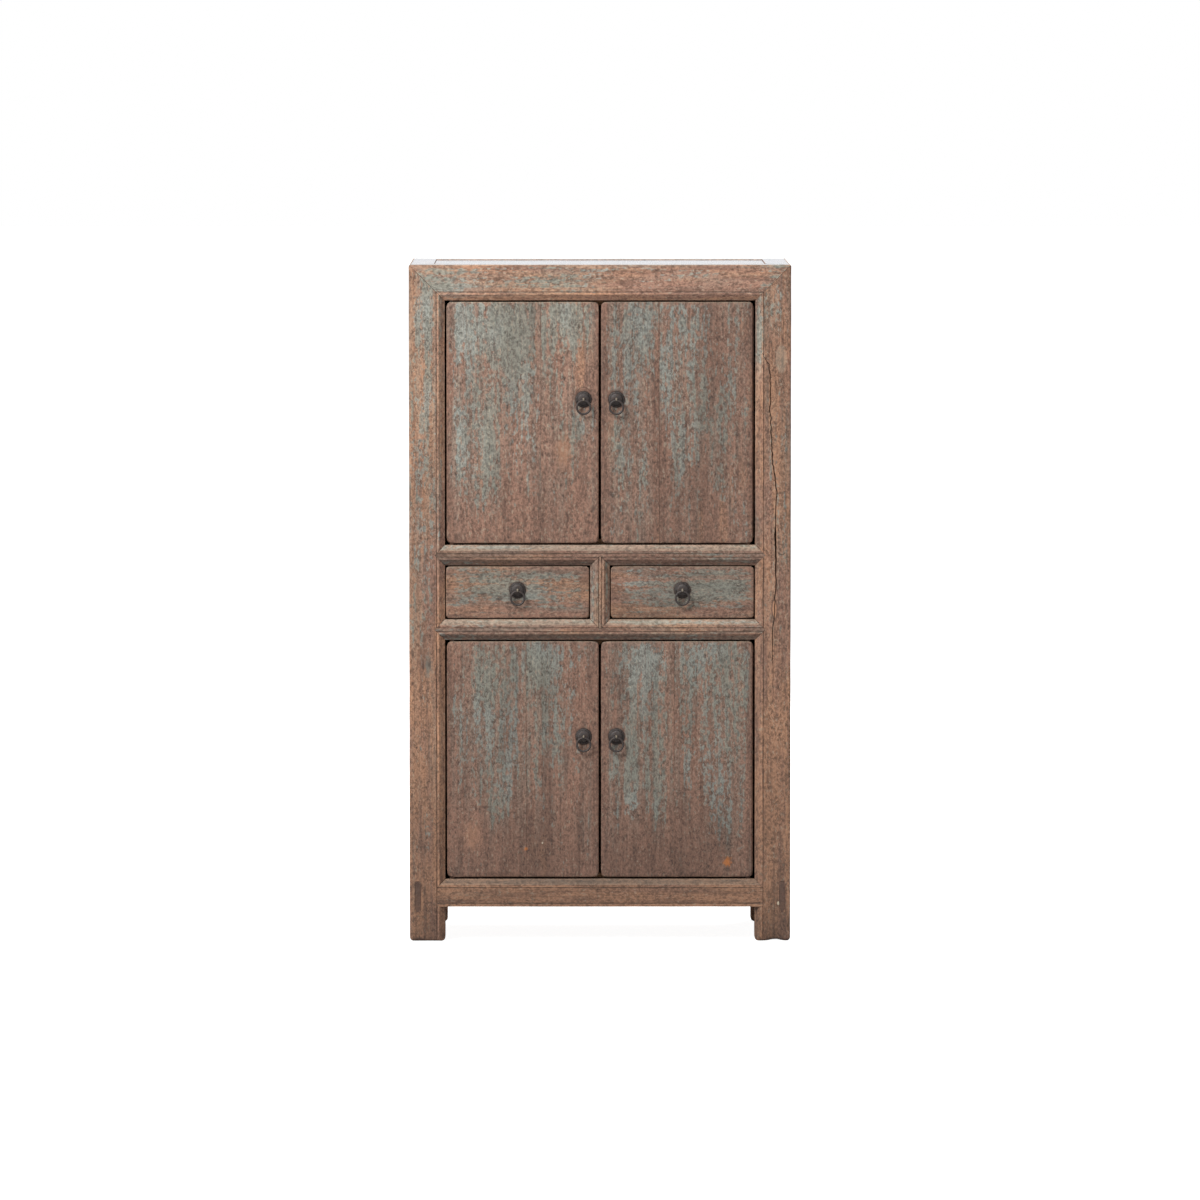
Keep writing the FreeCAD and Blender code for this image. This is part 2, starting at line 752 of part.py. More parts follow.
def faceted(label, outline, flats):
    """A solid of flats round the Y axis, from the closed outline of one side as (radius, y) corners."""
    turn = 2 * math.pi / flats
    # half a turn's offset puts a flat, not an edge, at the top
    angles = [turn * (i + 1 / 2) + math.pi / 2 for i in range(flats)]
    rings = [[Vector(r * math.cos(a), y, r * math.sin(a)) for a in angles] for r, y in outline]
    faces = []
    for i in range(len(outline)):
        one, two = rings[i], rings[(i + 1) % len(outline)]
        for k in range(flats):
            after = (k + 1) % flats
            wire = Part.makePolygon([one[k], one[after], two[after], two[k], one[k]])
            faces.append(Part.Face(wire))
    solid = Part.makeSolid(Part.makeShell(faces))
    if solid.Volume < 0:
        solid.reverse()
    piece = add("Part::Feature", label)
    piece.Shape = solid
    return piece


def plate_outline():
    """Half of the domed back plate's section, hollow behind, with the hole for the cotter."""
    radius, dome, rim, wall = (size(n) for n in ("plate_r", "dome_h", "plate_rim_t", "plate_wall_t"))
    outer = [(radius, 0), (radius, -rim)]
    outer += [(radius * across, -max(rim, dome * out)) for out, across in DOME_SHARES]
    hole = size("plate_hole_r")
    inner = [(hole, wall - dome)]
    inner += [(radius * across - wall, wall - dome * out) for out, across in DOME_SHARES[1::-1]]
    inner[-1] = (radius * DOME_SHARES[0][1] - wall, 0)
    return [*outer, (hole, -dome), *inner]


def ring_outline():
    """The ring's wire, hammered in flats."""
    middle, wire = size("ring_r"), size("wire_r")
    turn = 2 * math.pi / WIRE_FLAT_COUNT
    spots = [turn * (i + 1 / 2) for i in range(WIRE_FLAT_COUNT)]
    return [(middle + wire * math.cos(a), wire * math.sin(a)) for a in spots]


def make_cotter(label, x, face, behind, z):
    """A strip of iron folded round the ring, pushed through the wood and clenched behind it."""
    eye_y = f"{face} - eye_stand"
    eye_z = f"{z} - eye_drop"
    width = (f"{x} - strip_w / 2", f"{x} + strip_w / 2")
    rounds = []
    for name, radius in (("outer", EYE_OUTER_R), ("inner", EYE_INNER_R)):
        eye = add("Part::Prism", f"{label}_{name}")
        eye.Polygon = EYE_FLAT_COUNT
        eye.Placement = Placement(Vector(0, 0, 0), Rotation(Vector(0, 1, 0), 90))
        eye.setExpression("Circumradius", bound(radius))
        eye.setExpression("Height", bound("strip_w"))
        for axis, place in zip("xyz", (width[0], eye_y, eye_z)):
            eye.setExpression(f"Placement.Base.{axis}", bound(place))
        rounds.append(eye)
    start = f"{eye_y} + {EYE_INNER_R}"
    legs = []
    for name, low, high in (("upper", z, f"{z} + strip_t"), ("lower", f"{z} - strip_t", z)):
        legs.append(box(f"{label}_{name}_leg", width, (start, f"{behind} + strip_t"), (low, high)))
    clench = (behind, f"{behind} + strip_t")
    bent = box(f"{label}_clench", width, clench, (f"{z} - clench_l", f"{z} + clench_l"))
    return join(label, cut(f"{label}_eye", *rounds), *legs, bent)


def cotter_slot(label, x, behind, z):
    """The slot for the cotter's legs through a door or a drawer front."""
    xs = (f"{x} - strip_w / 2 - strip_play", f"{x} + strip_w / 2 + strip_play")
    zs = (f"{z} - strip_t - strip_play", f"{z} + strip_t + strip_play")
    return box(label, xs, (front("-overrun"), behind), zs)


def place(piece, x, y, z):
    for axis, spot in zip("xyz", (x, y, z)):
        piece.setExpression(f"Placement.Base.{axis}", bound(spot))
    return piece


def make_pull(name, x, behind, z):
    """Back plate, cotter and ring, and the slot that they need."""
    plate = place(faceted(f"{name}_backplate", plate_outline(), FLAT_COUNT), x, LEAF_FRONT, z)
    cotter = make_cotter(f"{name}_cotter", x, LEAF_FRONT, behind, z)
    ring = faceted(f"{name}_ring", ring_outline(), FLAT_COUNT)
    place(ring, x, f"{LEAF_FRONT} - eye_stand", f"{z} - eye_drop - ring_r")
    return plate, cotter, ring, cotter_slot(f"{name}_slot", x, behind, z)


# doors

def make_door(row, low, high, seam):
    """A left-hand door: two boards, pivots worked on the hinge board, two battens and a ring pull."""
    name = f"door_{row}_left"
    edge, free = left("post_w + door_side_gap"), "-door_centre_gap / 2"
    bottom, head = f"{low} + door_end_gap", f"{high} - door_end_gap"
    split = f"{edge} + (({free}) - {edge}) * {seam}"
    hinge_outline = [
        (split, LEAF_FRONT),
        (f"{edge} + leaf_ease", LEAF_FRONT),
        (edge, f"{LEAF_FRONT} + leaf_ease"),
        (edge, f"{LEAF_BACK} - leaf_ease"),
        (f"{edge} + leaf_ease", LEAF_BACK),
        (split, LEAF_BACK),
    ]
    free_outline = [
        (split, LEAF_FRONT),
        (f"{free} - free_edge_ease", LEAF_FRONT),
        (free, f"{LEAF_FRONT} + free_edge_ease"),
        (free, f"{LEAF_BACK} - free_edge_ease"),
        (f"{free} - free_edge_ease", LEAF_BACK),
        (split, LEAF_BACK),
    ]
    x, y = f"{edge} + pivot_in", f"{LEAF_FRONT} + pivot_back"
    pivots = [
        peg(f"{name}_low_pivot", x, y, f"{low} - lower_socket_d + pivot_play", bottom, "pivot_r"),
        peg(f"{name}_high_pivot", x, y, head, f"{high} + upper_pivot_l", "pivot_r"),
    ]
    hinge_blank = profile(f"{name}_hinge_blank", "Z", hinge_outline, bottom, head)
    hinge_board = join(f"{name}_hinge", hinge_blank, *pivots)
    free_board = profile(f"{name}_free_blank", "Z", free_outline, bottom, head)
    battens = []
    for number, share in enumerate(("batten_height_share", "(1 - batten_height_share)")):
        middle = f"{bottom} + ({head} - ({bottom})) * {share}"
        wide, narrow = "batten_h / 2 + batten_flare", "batten_h / 2"
        sunk, proud = f"{LEAF_BACK} - batten_sink", f"{LEAF_BACK} + batten_t"
        outline = [
            (sunk, f"{middle} + {wide}"),
            (LEAF_BACK, f"{middle} + {narrow}"),
            (proud, f"{middle} + {narrow}"),
            (proud, f"{middle} - {narrow}"),
            (LEAF_BACK, f"{middle} - {narrow}"),
            (sunk, f"{middle} - ({wide})"),
        ]
        ends = (f"{edge} + batten_hinge_in", f"{free} - batten_free_in")
        battens.append(profile(f"{name}_batten_{number}", "X", outline, *ends))
    z = f"{bottom} + ({head} - ({bottom})) * door_pull_share"
    plate, cotter, ring, slot = make_pull(name, f"{free} - door_pull_in", LEAF_BACK, z)
    boards = [
        cut(f"{name}_hinge_board", hinge_board, *battens),
        cut(f"{name}_free_board", free_board, *battens, slot),
    ]
    return {"leaf": boards, "battens": battens, "backplate": [plate], "cotter": [cotter], "ring": [ring]}


# drawers

def make_drawer():
    """The left-hand drawer: dovetailed front, housed back and a bottom in grooves."""
    name = "drawer_left"
    xs = (left("post_w + drawer_gap"), "-divider_w / 2 - drawer_gap")
    zs = (f"{DRAWER_SILL} + drawer_gap", f"{UPPER_WAIST} - drawer_gap")
    face_back = f"{LEAF_FRONT} + drawer_front_t"
    end = back("back_panel_in + panel_t + drawer_back_gap")
    root, tip = face_back, f"{face_back} - dovetail_l"
    low, high = zs[0], f"{zs[0]} + drawer_side_h"
    pitch = f"drawer_side_h / {DOVETAIL_COUNT}"
    outline = [(end, high), (end, low), (root, low)]
    for tail in range(DOVETAIL_COUNT):
        middle = f"{low} + {pitch} * {tail + 1 / 2}"
        outline += [
            (root, f"{middle} - {pitch} * tail_root_share / 2"),
            (tip, f"{middle} - {pitch} * tail_tip_share / 2"),
            (tip, f"{middle} + {pitch} * tail_tip_share / 2"),
            (root, f"{middle} + {pitch} * tail_root_share / 2"),
        ]
    outline += [(root, high)]
    outer = (f"{xs[0]} + drawer_side_in", f"{xs[1]} - drawer_side_in")
    inner = (f"{outer[0]} + drawer_side_t", f"{outer[1]} - drawer_side_t")
    sides = [
        profile(f"{name}_side_blank_1", "X", outline, outer[0], inner[0]),
        profile(f"{name}_side_blank_2", "X", outline, inner[1], outer[1]),
    ]
    floor = (f"{low} + drawer_bottom_up", f"{low} + drawer_bottom_up + drawer_bottom_t")
    back_ys = (f"{end} - drawer_back_in - drawer_back_t", f"{end} - drawer_back_in")
    back_xs = (f"{inner[0]} - drawer_housing_d", f"{inner[1]} + drawer_housing_d")
    rear = box(f"{name}_back", back_xs, back_ys, (f"{floor[1]} + groove_play", f"{high} - drawer_back_drop"))
    slack = "drawer_groove_d - edge_play"
    bottom = box(
        f"{name}_bottom",
        (f"{inner[0]} - ({slack})", f"{inner[1]} + ({slack})"),
        (f"{face_back} - ({slack})", back_ys[1]),
        floor,
    )
    groove = box(
        f"{name}_groove",
        (f"{inner[0]} - drawer_groove_d", f"{inner[1]} + drawer_groove_d"),
        (f"{face_back} - drawer_groove_d", f"{end} + overrun"),
        (f"{floor[0]} - groove_play", f"{floor[1]} + groove_play"),
    )
    sides = [cut(f"{name}_side_{i}", side, groove, rear) for i, side in enumerate(sides, start=1)]
    x, z = f"(({xs[0]}) + ({xs[1]})) / 2", f"(({zs[0]}) + ({zs[1]})) / 2 + drawer_pull_up"
    plate, cotter, ring, slot = make_pull(name, x, face_back, z)
    blank = box(f"{name}_front_blank", xs, (LEAF_FRONT, face_back), zs)
    face = cut(f"{name}_front", blank, *sides, groove, slot)
    return {
        "front": [face],
        "sides": sides,
        "back": [rear],
        "bottom": [bottom],
        "backplate": [plate],
        "cotter": [cotter],
        "ring": [ring],
    }


def keep_both_hands(name, pieces):
    """Keeps a left-hand sub-part and its mirror image."""
    twins = [mirrored(f"{piece.Label}_twin", piece) for piece in pieces]
    other = name.replace("_left", "_right")
    for label, solids in ((name, pieces), (other, twins)):
        if len(solids) == 1:
            keep(solids[0], label)
        else:
            group(label, solids)


# the whole cabinet

frame = {}
room = {}
for name, pair in make_top_rails().items():
    frame[name], room[name] = pair
divider, divider_room = make_divider()
FRONT_RAILS = (
    ("waist_rail_upper", UPPER_WAIST, UPPER_SILL, waist_shoulder(UPPER_WAIST), True),
    ("waist_rail_lower", LOWER_WAIST, DRAWER_SILL, waist_shoulder(LOWER_WAIST), True),
    ("bottom_rail_front", BOTTOM_RAIL, LOWER_SILL, sill_shoulder(), False),
)
for name, *shape in FRONT_RAILS:
    frame[name], room[name] = moulded_rail(f"{name}_whole", *shape)
room["bottom_rail_back"] = back_rail("back_sill", BOTTOM_RAIL, LOWER_SILL, False)
room["back_waists"] = [
    back_rail("back_waist_low", LOWER_WAIST, DRAWER_SILL, True),
    back_rail("back_waist_high", UPPER_WAIST, UPPER_SILL, True),
]
side_sill = side_rail("side_sill", "side_bottom_z", "(side_bottom_z + side_bottom_h)", True)
room["side_waists"] = [
    side_rail("side_waist_low", LOWER_WAIST, DRAWER_SILL, False),
    side_rail("side_waist_high", UPPER_WAIST, UPPER_SILL, False),
]
shelves, bearers = zip(*(make_shelf(*row) for row in DOOR_ROWS))
post_front, post_back = make_posts(room, bearers)
for name, tools in make_sockets().items():
    joined = [divider_room] if "waist" in name else []
    keep(cut(name, frame[name], *tools, *joined), name)
keep(divider, "drawer_divider")
keep(frame["top_rail_back"], "top_rail_back")
keep(room["bottom_rail_back"], "bottom_rail_back")
keep_both_hands("post_front_left", [post_front])
keep_both_hands("post_back_left", [post_back])
keep_both_hands("top_rail_left", [frame["top_rail_left"]])
keep_both_hands("bottom_rail_left", [side_sill])
right_waists = [mirrored(f"{rail.Label}_right", rail) for rail in room["side_waists"]]
group("side_waist_rails", [*room["side_waists"], *right_waists])
group("back_waist_rails", room["back_waists"])
keep(make_top_panel(), "top_panel")
BAYS = (
    ("side_bottom_z + side_bottom_h", LOWER_SILL, LOWER_WAIST),
    (DRAWER_SILL, DRAWER_SILL, UPPER_WAIST),
    (UPPER_SILL, UPPER_SILL, TOP_RAIL),
)
keep_both_hands(
    "side_panels_left",
    [side_panel(f"side_panel_{i}", side_low, high) for i, (side_low, low, high) in enumerate(BAYS)],
)
group("back_panels", [back_panel(f"back_panel_{i}", low, high) for i, (_, low, high) in enumerate(BAYS)])
DECKS = (LOWER_SILL, DRAWER_SILL, UPPER_SILL)
group("deck_boards", [deck_board(f"deck_{i}", rail_top) for i, rail_top in enumerate(DECKS)])
group("shelves", shelves)
group("shelf_bearers", [*bearers, *(mirrored(f"{b.Label}_right", b) for b in bearers)])
group("drawer_runners", make_runners())
group("door_stops", make_stops())
for (row, low, high), seam in zip(DOOR_ROWS, ("upper_seam_share", "lower_seam_share")):
    for part, pieces in make_door(row, low, high, seam).items():
        keep_both_hands(f"door_{row}_left_{part}", pieces)
for part, pieces in make_drawer().items():
    keep_both_hands(f"drawer_left_{part}", pieces)

doc.recompute()
for made in doc.Objects:
    if {"Invalid", "Error"} & set(made.State):
        raise RuntimeError(f"{made.Label} failed: {made.State}")
for node in nodes:
    if node.Shape.isNull() or not node.Shape.isValid() or not node.Shape.Solids:
        raise RuntimeError(f"{node.Label} has no valid shape")
os.makedirs("parts", exist_ok=True)
for node in nodes:
    node.Shape.exportStep(f"parts/{node.Label}.step")
print(f"{len(nodes)} sub-parts")
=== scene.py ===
"""The old painted cabinet, dressed: worn wood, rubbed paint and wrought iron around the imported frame.

Metres, in the frame's own axes: +Z up, +X to the right, and the front faces -Y.
"""
import json
import math

import bmesh
import bpy
import numpy as np
from bpy.props import FloatProperty, FloatVectorProperty, IntProperty, PointerProperty
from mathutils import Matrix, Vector, noise
from mathutils.kdtree import KDTree

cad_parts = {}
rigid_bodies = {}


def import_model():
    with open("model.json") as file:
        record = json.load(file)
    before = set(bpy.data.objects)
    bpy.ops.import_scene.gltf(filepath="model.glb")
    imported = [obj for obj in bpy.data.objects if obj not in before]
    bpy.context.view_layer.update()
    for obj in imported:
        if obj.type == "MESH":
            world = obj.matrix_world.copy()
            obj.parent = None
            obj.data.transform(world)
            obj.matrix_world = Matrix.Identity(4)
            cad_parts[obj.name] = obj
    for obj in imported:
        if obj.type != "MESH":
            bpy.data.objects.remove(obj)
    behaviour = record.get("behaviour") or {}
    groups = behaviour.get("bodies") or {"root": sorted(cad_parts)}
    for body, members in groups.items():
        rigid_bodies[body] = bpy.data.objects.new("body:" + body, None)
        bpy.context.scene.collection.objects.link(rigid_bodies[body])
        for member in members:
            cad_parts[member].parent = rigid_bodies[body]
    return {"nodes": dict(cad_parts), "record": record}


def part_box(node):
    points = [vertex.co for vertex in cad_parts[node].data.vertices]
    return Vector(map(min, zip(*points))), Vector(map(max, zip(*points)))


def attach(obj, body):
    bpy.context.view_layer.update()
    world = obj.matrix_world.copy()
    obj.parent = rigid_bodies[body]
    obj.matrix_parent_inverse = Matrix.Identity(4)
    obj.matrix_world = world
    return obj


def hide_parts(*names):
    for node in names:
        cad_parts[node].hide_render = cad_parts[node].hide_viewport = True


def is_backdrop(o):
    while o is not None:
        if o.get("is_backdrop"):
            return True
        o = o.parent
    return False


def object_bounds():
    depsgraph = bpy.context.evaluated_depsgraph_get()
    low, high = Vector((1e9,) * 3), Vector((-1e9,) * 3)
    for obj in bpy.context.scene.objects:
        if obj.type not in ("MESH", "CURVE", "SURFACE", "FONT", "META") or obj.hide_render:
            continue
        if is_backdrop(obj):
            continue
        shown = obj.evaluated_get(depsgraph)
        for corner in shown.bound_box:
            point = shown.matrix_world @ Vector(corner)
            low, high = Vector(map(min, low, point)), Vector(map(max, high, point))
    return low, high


bl_info = {
    "name": "Painted Kang Cabinet",
    "version": (1, 0, 0),
    "blender": (4, 5, 0),
    "location": "View3D > Sidebar > Cabinet",
    "description": "Dresses the cabinet's frame in worn paint, old wood and iron",
    "category": "Object",
}

for leftover in list(bpy.data.objects):
    bpy.data.objects.remove(leftover)
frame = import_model()
FRAME_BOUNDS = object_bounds()

BODY_OF = {node: body for body, held in frame["record"]["behaviour"]["bodies"].items() for node in held}
CASE_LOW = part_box("post_front_left")[0]
CASE_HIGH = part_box("post_back_right")[1]
HANDS = ("left", "right")


def srgb(red, green, blue):
    """A linear colour from the 0 to 255 values that a paint chart gives."""
    return tuple(((part / 255 + 0.055) / 1.055) ** 2.4 for part in (red, green, blue))


def number(name, description, default, unit="NONE"):
    return FloatProperty(name=name, description=description, default=default, min=0.0, unit=unit)


def length(name, description, default):
    return number(name, description, default, "LENGTH")


def colour(name, description, *parts):
    return FloatVectorProperty(
        name=name, description=description, default=srgb(*parts), min=0.0, max=1.0, subtype="COLOR"
    )


# the sizes and colours that a user would change


class CabinetWear(bpy.types.PropertyGroup):
    edge: length("Worn edges", "Rounding of the outer arrises", 0.0034)
    case_corner: length("Case corners", "Their rounding seen from the front", 0.006)
    door_corner: length("Door corners", "Their rounding seen from the front", 0.012)
    drawer_corner: length("Drawer corners", "Their rounding seen from the front", 0.01)
    foot: length("Foot wear", "Rounding of the feet where they stand", 0.009)
    foot_hollow: length("Foot hollow", "Wear in the middle of the right foot's sole", 0.004)
    board_edge: length("Board edges", "Rounding of hidden boards and rails", 0.0012)
    undulation: length("Undulation", "Depth of the hollows left by plane and hand", 0.0007)
    crack: length("Crack", "Usual width of a crack in a post", 0.003)
    step: length("Mesh step", "Distance between the lines of the mesh", 0.0095)


class CabinetColours(bpy.types.PropertyGroup):
    paint: colour("Paint", "Grey-green paint", 137, 143, 132)
    pale_paint: colour("Pale paint", "Where the paint is chalky and bluish", 153, 163, 156)
    clay: colour("Clay primer", "Reddish ground coat under the paint", 161, 120, 100)
    bare: colour("Bare wood", "Wood rubbed clean", 186, 138, 107)
    old: colour("Old wood", "Wood darkened by age", 109, 79, 65)
    # grime also stands for painted shade on downward faces and round the back plates
    grime: colour("Grime", "Dirt in pores, cracks and corners", 67, 48, 40)
    # dust also stands for painted light on upward faces and a painted highlight on the cotters
    dust: colour("Dust", "Pale dust and rubbed wax", 188, 174, 152)
    orange: colour("Orange spots", "Spots on the lower doors", 190, 112, 44)
    # haze is a painted sheen on the level top, over a film of dust
    haze: colour("Haze", "Bluish film of dust on the level top", 163, 177, 194)
    inside: colour("Inside", "Unpainted wood inside the case", 158, 122, 90)
    iron: colour("Iron", "Dark wrought iron", 60, 54, 52)
    rust: colour("Rust", "Brown rust on the iron", 66, 52, 45)
    floor: colour("Floor", "Pale studio floor", 205, 205, 205)


class CabinetPulls(bpy.types.PropertyGroup):
    dome: length("Dome height", "Height of the back plate's dome", 0.0052)
    rim: length("Rim thickness", "Thickness of the back plate's edge", 0.0012)
    wire: length("Ring wire", "Radius of the ring's wire", 0.0023)
    strip: length("Cotter thickness", "Thickness of the folded strip", 0.0016)
    strip_width: length("Cotter width", "Width of the folded strip", 0.004)
    eye: length("Cotter eye", "Outer radius of the ring's eye", 0.004)
    hammering: length("Hammering", "Unevenness left by the smith's hammer", 0.0002)
    seed: IntProperty(name="Seed", description="Start of the random hammering", default=7, min=0)


class CabinetStudio(bpy.types.PropertyGroup):
    distance: length("Camera distance", "From the camera to the cabinet's front", 18.0)
    rise: length("Camera rise", "Height above the cabinet's top", 0.56)
    aside: length("Camera aside", "Distance to the left of the middle", 0.08)
    aim_rise: length("Aim", "Height above the cabinet's middle", 0.0085)
    view_width: length("View width", "Width of the picture at the cabinet's front", 2.664)
    key_power: number("Key light", "Power of the large light at upper left", 770.0, "POWER")
    fill_power: number("Fill light", "Power of the light behind the right side", 520.0, "POWER")
    floor_glow: number("Floor glow", "Glow that only the camera sees", 0.93)
    ambient: number("Ambient", "Soft light from all round", 0.2)


# node trees and objects in few words


class Tree:
    """Adds nodes to one node tree and links them."""

    def __init__(self, tree):
        self.tree = tree

    def add(self, kind, inputs=(), **settings):
        made = self.tree.nodes.new(kind)
        for name, value in settings.items():
            setattr(made, name, value)
        for name, value in dict(inputs).items():
            if isinstance(value, bpy.types.NodeSocket):
                self.tree.links.new(value, made.inputs[name])
            else:
                made.inputs[name].default_value = value
        return made

    def first(self, kind, inputs=(), **settings):
        """The first output of a new node."""
        return self.add(kind, inputs, **settings).outputs[0]

    def math(self, operation, *values):
        return self.first("ShaderNodeMath", enumerate(values), operation=operation)

    def plus(self, value, *others):
        for other in others:
            value = self.math("ADD", value, other)
        return value

    def minus(self, value, other):
        return self.math("SUBTRACT", value, other)

    def times(self, value, other):
        return self.math("MULTIPLY", value, other)

    def vector(self, operation, *values):
        return self.first("ShaderNodeVectorMath", enumerate(values), operation=operation)

    def join(self, x=0.0, y=0.0, z=0.0):
        return self.first("ShaderNodeCombineXYZ", {0: x, 1: y, 2: z})

    def split(self, vector):
        return self.add("ShaderNodeSeparateXYZ", {0: vector}).outputs

    def span(self, vector):
        """How long a vector is."""
        return self.add("ShaderNodeVectorMath", {0: vector}, operation="LENGTH").outputs["Value"]

    def read(self, name):
        """The value that the mesh's attribute of this name has."""
        return self.add("ShaderNodeAttribute", attribute_name=name).outputs["Fac"]

    def step(self, value, low, high, start=0.0, end=1.0):
        """Rises smoothly from start to end while the value goes from low to high."""
        inputs = {"Value": value, "From Min": low, "From Max": high, "To Min": start, "To Max": end}
        return self.first("ShaderNodeMapRange", inputs, interpolation_type="SMOOTHSTEP")

    def mix(self, share, first, second, mode="MIX"):
        inputs = {0: share, 6: first, 7: second}
        made = self.add("ShaderNodeMix", inputs, data_type="RGBA", blend_type=mode, clamp_factor=True)
        return made.outputs[2]

    def lay(self, surface, colours, *layers):
        """Lays colours over a surface; each layer is its share and the colour's name."""
        for share, name in layers:
            surface = self.mix(share, surface, colours[name])
        return surface

    def noise(self, place, scale, detail=4.0, roughness=0.6):
        """Noise with a scale of its own along each axis."""
        inputs = {"Vector": self.vector("MULTIPLY", place, scale), "Scale": 1.0}
        return self.first("ShaderNodeTexNoise", {**inputs, "Detail": detail, "Roughness": roughness})


def new_group(name, kind, inputs, outputs):
    """A node group with named inputs and outputs of the given kinds, and its input node's sockets."""
    group = bpy.data.node_groups.new(name, kind)
    for way, sockets in (("OUTPUT", outputs), ("INPUT", inputs)):
        for label, stuff in sockets.items():
            group.interface.new_socket(name=label, in_out=way, socket_type=f"NodeSocket{stuff}")
    t = Tree(group)
    return t, t.add("NodeGroupInput").outputs


def wear():
    return bpy.context.scene.cabinet_wear


def new_object(name, data):
    made = bpy.data.objects.new(name, data)
    bpy.context.scene.collection.objects.link(made)
    return made


def final_mesh(source, name):
    """What an object's modifier makes of it. The object itself goes away."""
    mesh = bpy.data.meshes.new_from_object(source.evaluated_get(bpy.context.evaluated_depsgraph_get()))
    bpy.data.objects.remove(source)
    mesh.name = name
    return mesh


def settle(piece, node):
    """Binds a piece to its node's body and hides the node's own part."""
    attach(piece, BODY_OF[node])
    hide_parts(node)


def along_grain(grain, across, along):
    """Scales for a pattern that is stretched along the grain's axis."""
    return tuple(along if axis == grain else across for axis in "XYZ")


# paint, wood and iron

# how far below the highest point the case's level top may lie
TOP_DEPTH = 0.004
COAT_COLOURS = ("paint", "pale_paint", "clay", "bare", "old", "grime", "dust", "haze")


def worn_paint(grain):
    """Layers of an old painted surface: wood, clay ground, rubbed paint, grime and dust, with painted light
    on upward faces, painted shade on downward ones and a painted sheen on the level top.
    """
    name = f"worn_paint_{grain}"
    if name in bpy.data.node_groups:
        return bpy.data.node_groups[name]
    amounts = ("Facing", "Top", "Edge", "Cover", "Warmth", "Tone")
    inputs = {"Place": "Vector"} | dict.fromkeys(amounts, "Float") | dict.fromkeys(COAT_COLOURS, "Color")
    outputs = {"Colour": "Color", "Roughness": "Float", "Relief": "Float"}
    t, given = new_group(name, "ShaderNodeTree", inputs, outputs)

    def pattern(across, along, detail=4.0, roughness=0.6):
        return t.noise(given["Place"], along_grain(grain, across, along), detail, roughness)

    def off_middle(value, amount):
        return t.times(t.minus(value, 0.5), amount)

    blotch = pattern(13, 4.5)
    streak = pattern(90, 5.5, 4, 0.55)
    fleck = pattern(125, 72, 3, 0.62)
    fibre = pattern(300, 11, 3)
    pore = pattern(210, 95, 2)

    # how much paint is left, around 0 where half of it is gone
    left = t.plus(off_middle(blotch, 0.65), off_middle(streak, 1.05), off_middle(fleck, 1.0))
    left = t.plus(left, off_middle(fibre, 0.35), given["Cover"])
    coat = t.step(t.minus(left, t.times(given["Edge"], 0.2)), -0.07, 0.08)
    thin = t.plus(off_middle(blotch, 1.0), off_middle(pattern(110, 4, 4, 0.55), 1.1))
    veil = t.step(t.plus(thin, given["Cover"]), -0.3, 0.34, 0.04, 0.42)

    # the wood and the clay ground, then chalky paint, thin enough for the ground to show
    warmth = t.plus(pattern(24, 3, 3), t.times(given["Warmth"], 0.3))
    bare, aged = t.step(warmth, 0.44, 0.66), t.step(pattern(95, 5), 0.47, 0.66, 0.0, 0.55)
    ground = t.lay(given["clay"], given, (bare, "bare"), (aged, "old"), (veil, "paint"))
    paint = t.lay(given["paint"], given, (t.step(pattern(8, 4, 3), 0.42, 0.62), "pale_paint"))
    surface = t.mix(t.times(coat, 0.72), ground, paint)

    # grain lines, the dark crazing round the flakes of paint, light flecks and grime,
    # then dust, rubbed wax and painted light on upward faces, and dirt and painted shade on downward ones
    rim = t.step(t.math("ABSOLUTE", t.plus(off_middle(fleck, 1.0), 0.035)), 0.055, 0.01, 0.0, 0.55)
    surface = t.lay(
        surface, given,
        (t.step(fibre, 0.52, 0.7, 0.0, 0.4), "old"),
        (t.times(rim, t.step(pattern(60, 40, 2), 0.4, 0.58)), "grime"),
        (t.step(pore, 0.58, 0.7, 0.0, 0.55), "grime"),
        (t.step(pore, 0.42, 0.3, 0.0, 0.42), "dust"),
        (t.step(pattern(22, 1.8), 0.45, 0.68, 0.0, 0.26), "grime"),
        (t.step(given["Facing"], 0.15, 0.7, 0.0, 0.3), "dust"),
        (t.step(given["Facing"], -0.15, -0.6, 0.0, 0.3), "grime"),
    )

    # light squiggles and dark hollows of the crazed skin
    squiggle = t.math("ABSOLUTE", off_middle(pattern(122, 88, 2, 0.5), 1.0))
    contrast = t.minus(t.step(squiggle, 0.075, 0.0, 1.0, 1.32), t.step(squiggle, 0.07, 0.2, 0.0, 0.3))
    tone = t.times(given["Tone"], contrast)
    grey = t.first("ShaderNodeCombineColor", {0: tone, 1: tone, 2: tone})
    surface = t.mix(1.0, surface, grey, "MULTIPLY")

    # the case's level top has a smooth film of dust and a pale bluish painted sheen
    level = t.times(t.step(given["Facing"], 0.95, 0.995), given["Top"])
    surface = t.lay(surface, given, (t.times(level, 0.62), "haze"))
    rough = t.minus(t.plus(0.74, off_middle(fleck, 0.3)), t.times(level, 0.56))
    relief = t.plus(t.times(coat, 0.4), t.times(fibre, 0.7))
    relief = t.minus(relief, t.step(pore, 0.58, 0.72, 0.0, 0.6))
    relief = t.times(relief, t.minus(1.0, t.times(level, 0.9)))
    t.add("NodeGroupOutput", {"Colour": surface, "Roughness": rough, "Relief": relief})
    return t.tree


def new_material(name):
    """A material, its empty tree, the object's own coordinates, and the colours by name."""
    material = bpy.data.materials.new(name)
    material.use_nodes = True
    material.node_tree.nodes.clear()
    t = Tree(material.node_tree)
    chosen = bpy.context.scene.cabinet_colours
    colours = {tint: (*getattr(chosen, tint), 1.0) for tint in CabinetColours.__annotations__}
    return material, t, t.add("ShaderNodeTexCoord").outputs, colours


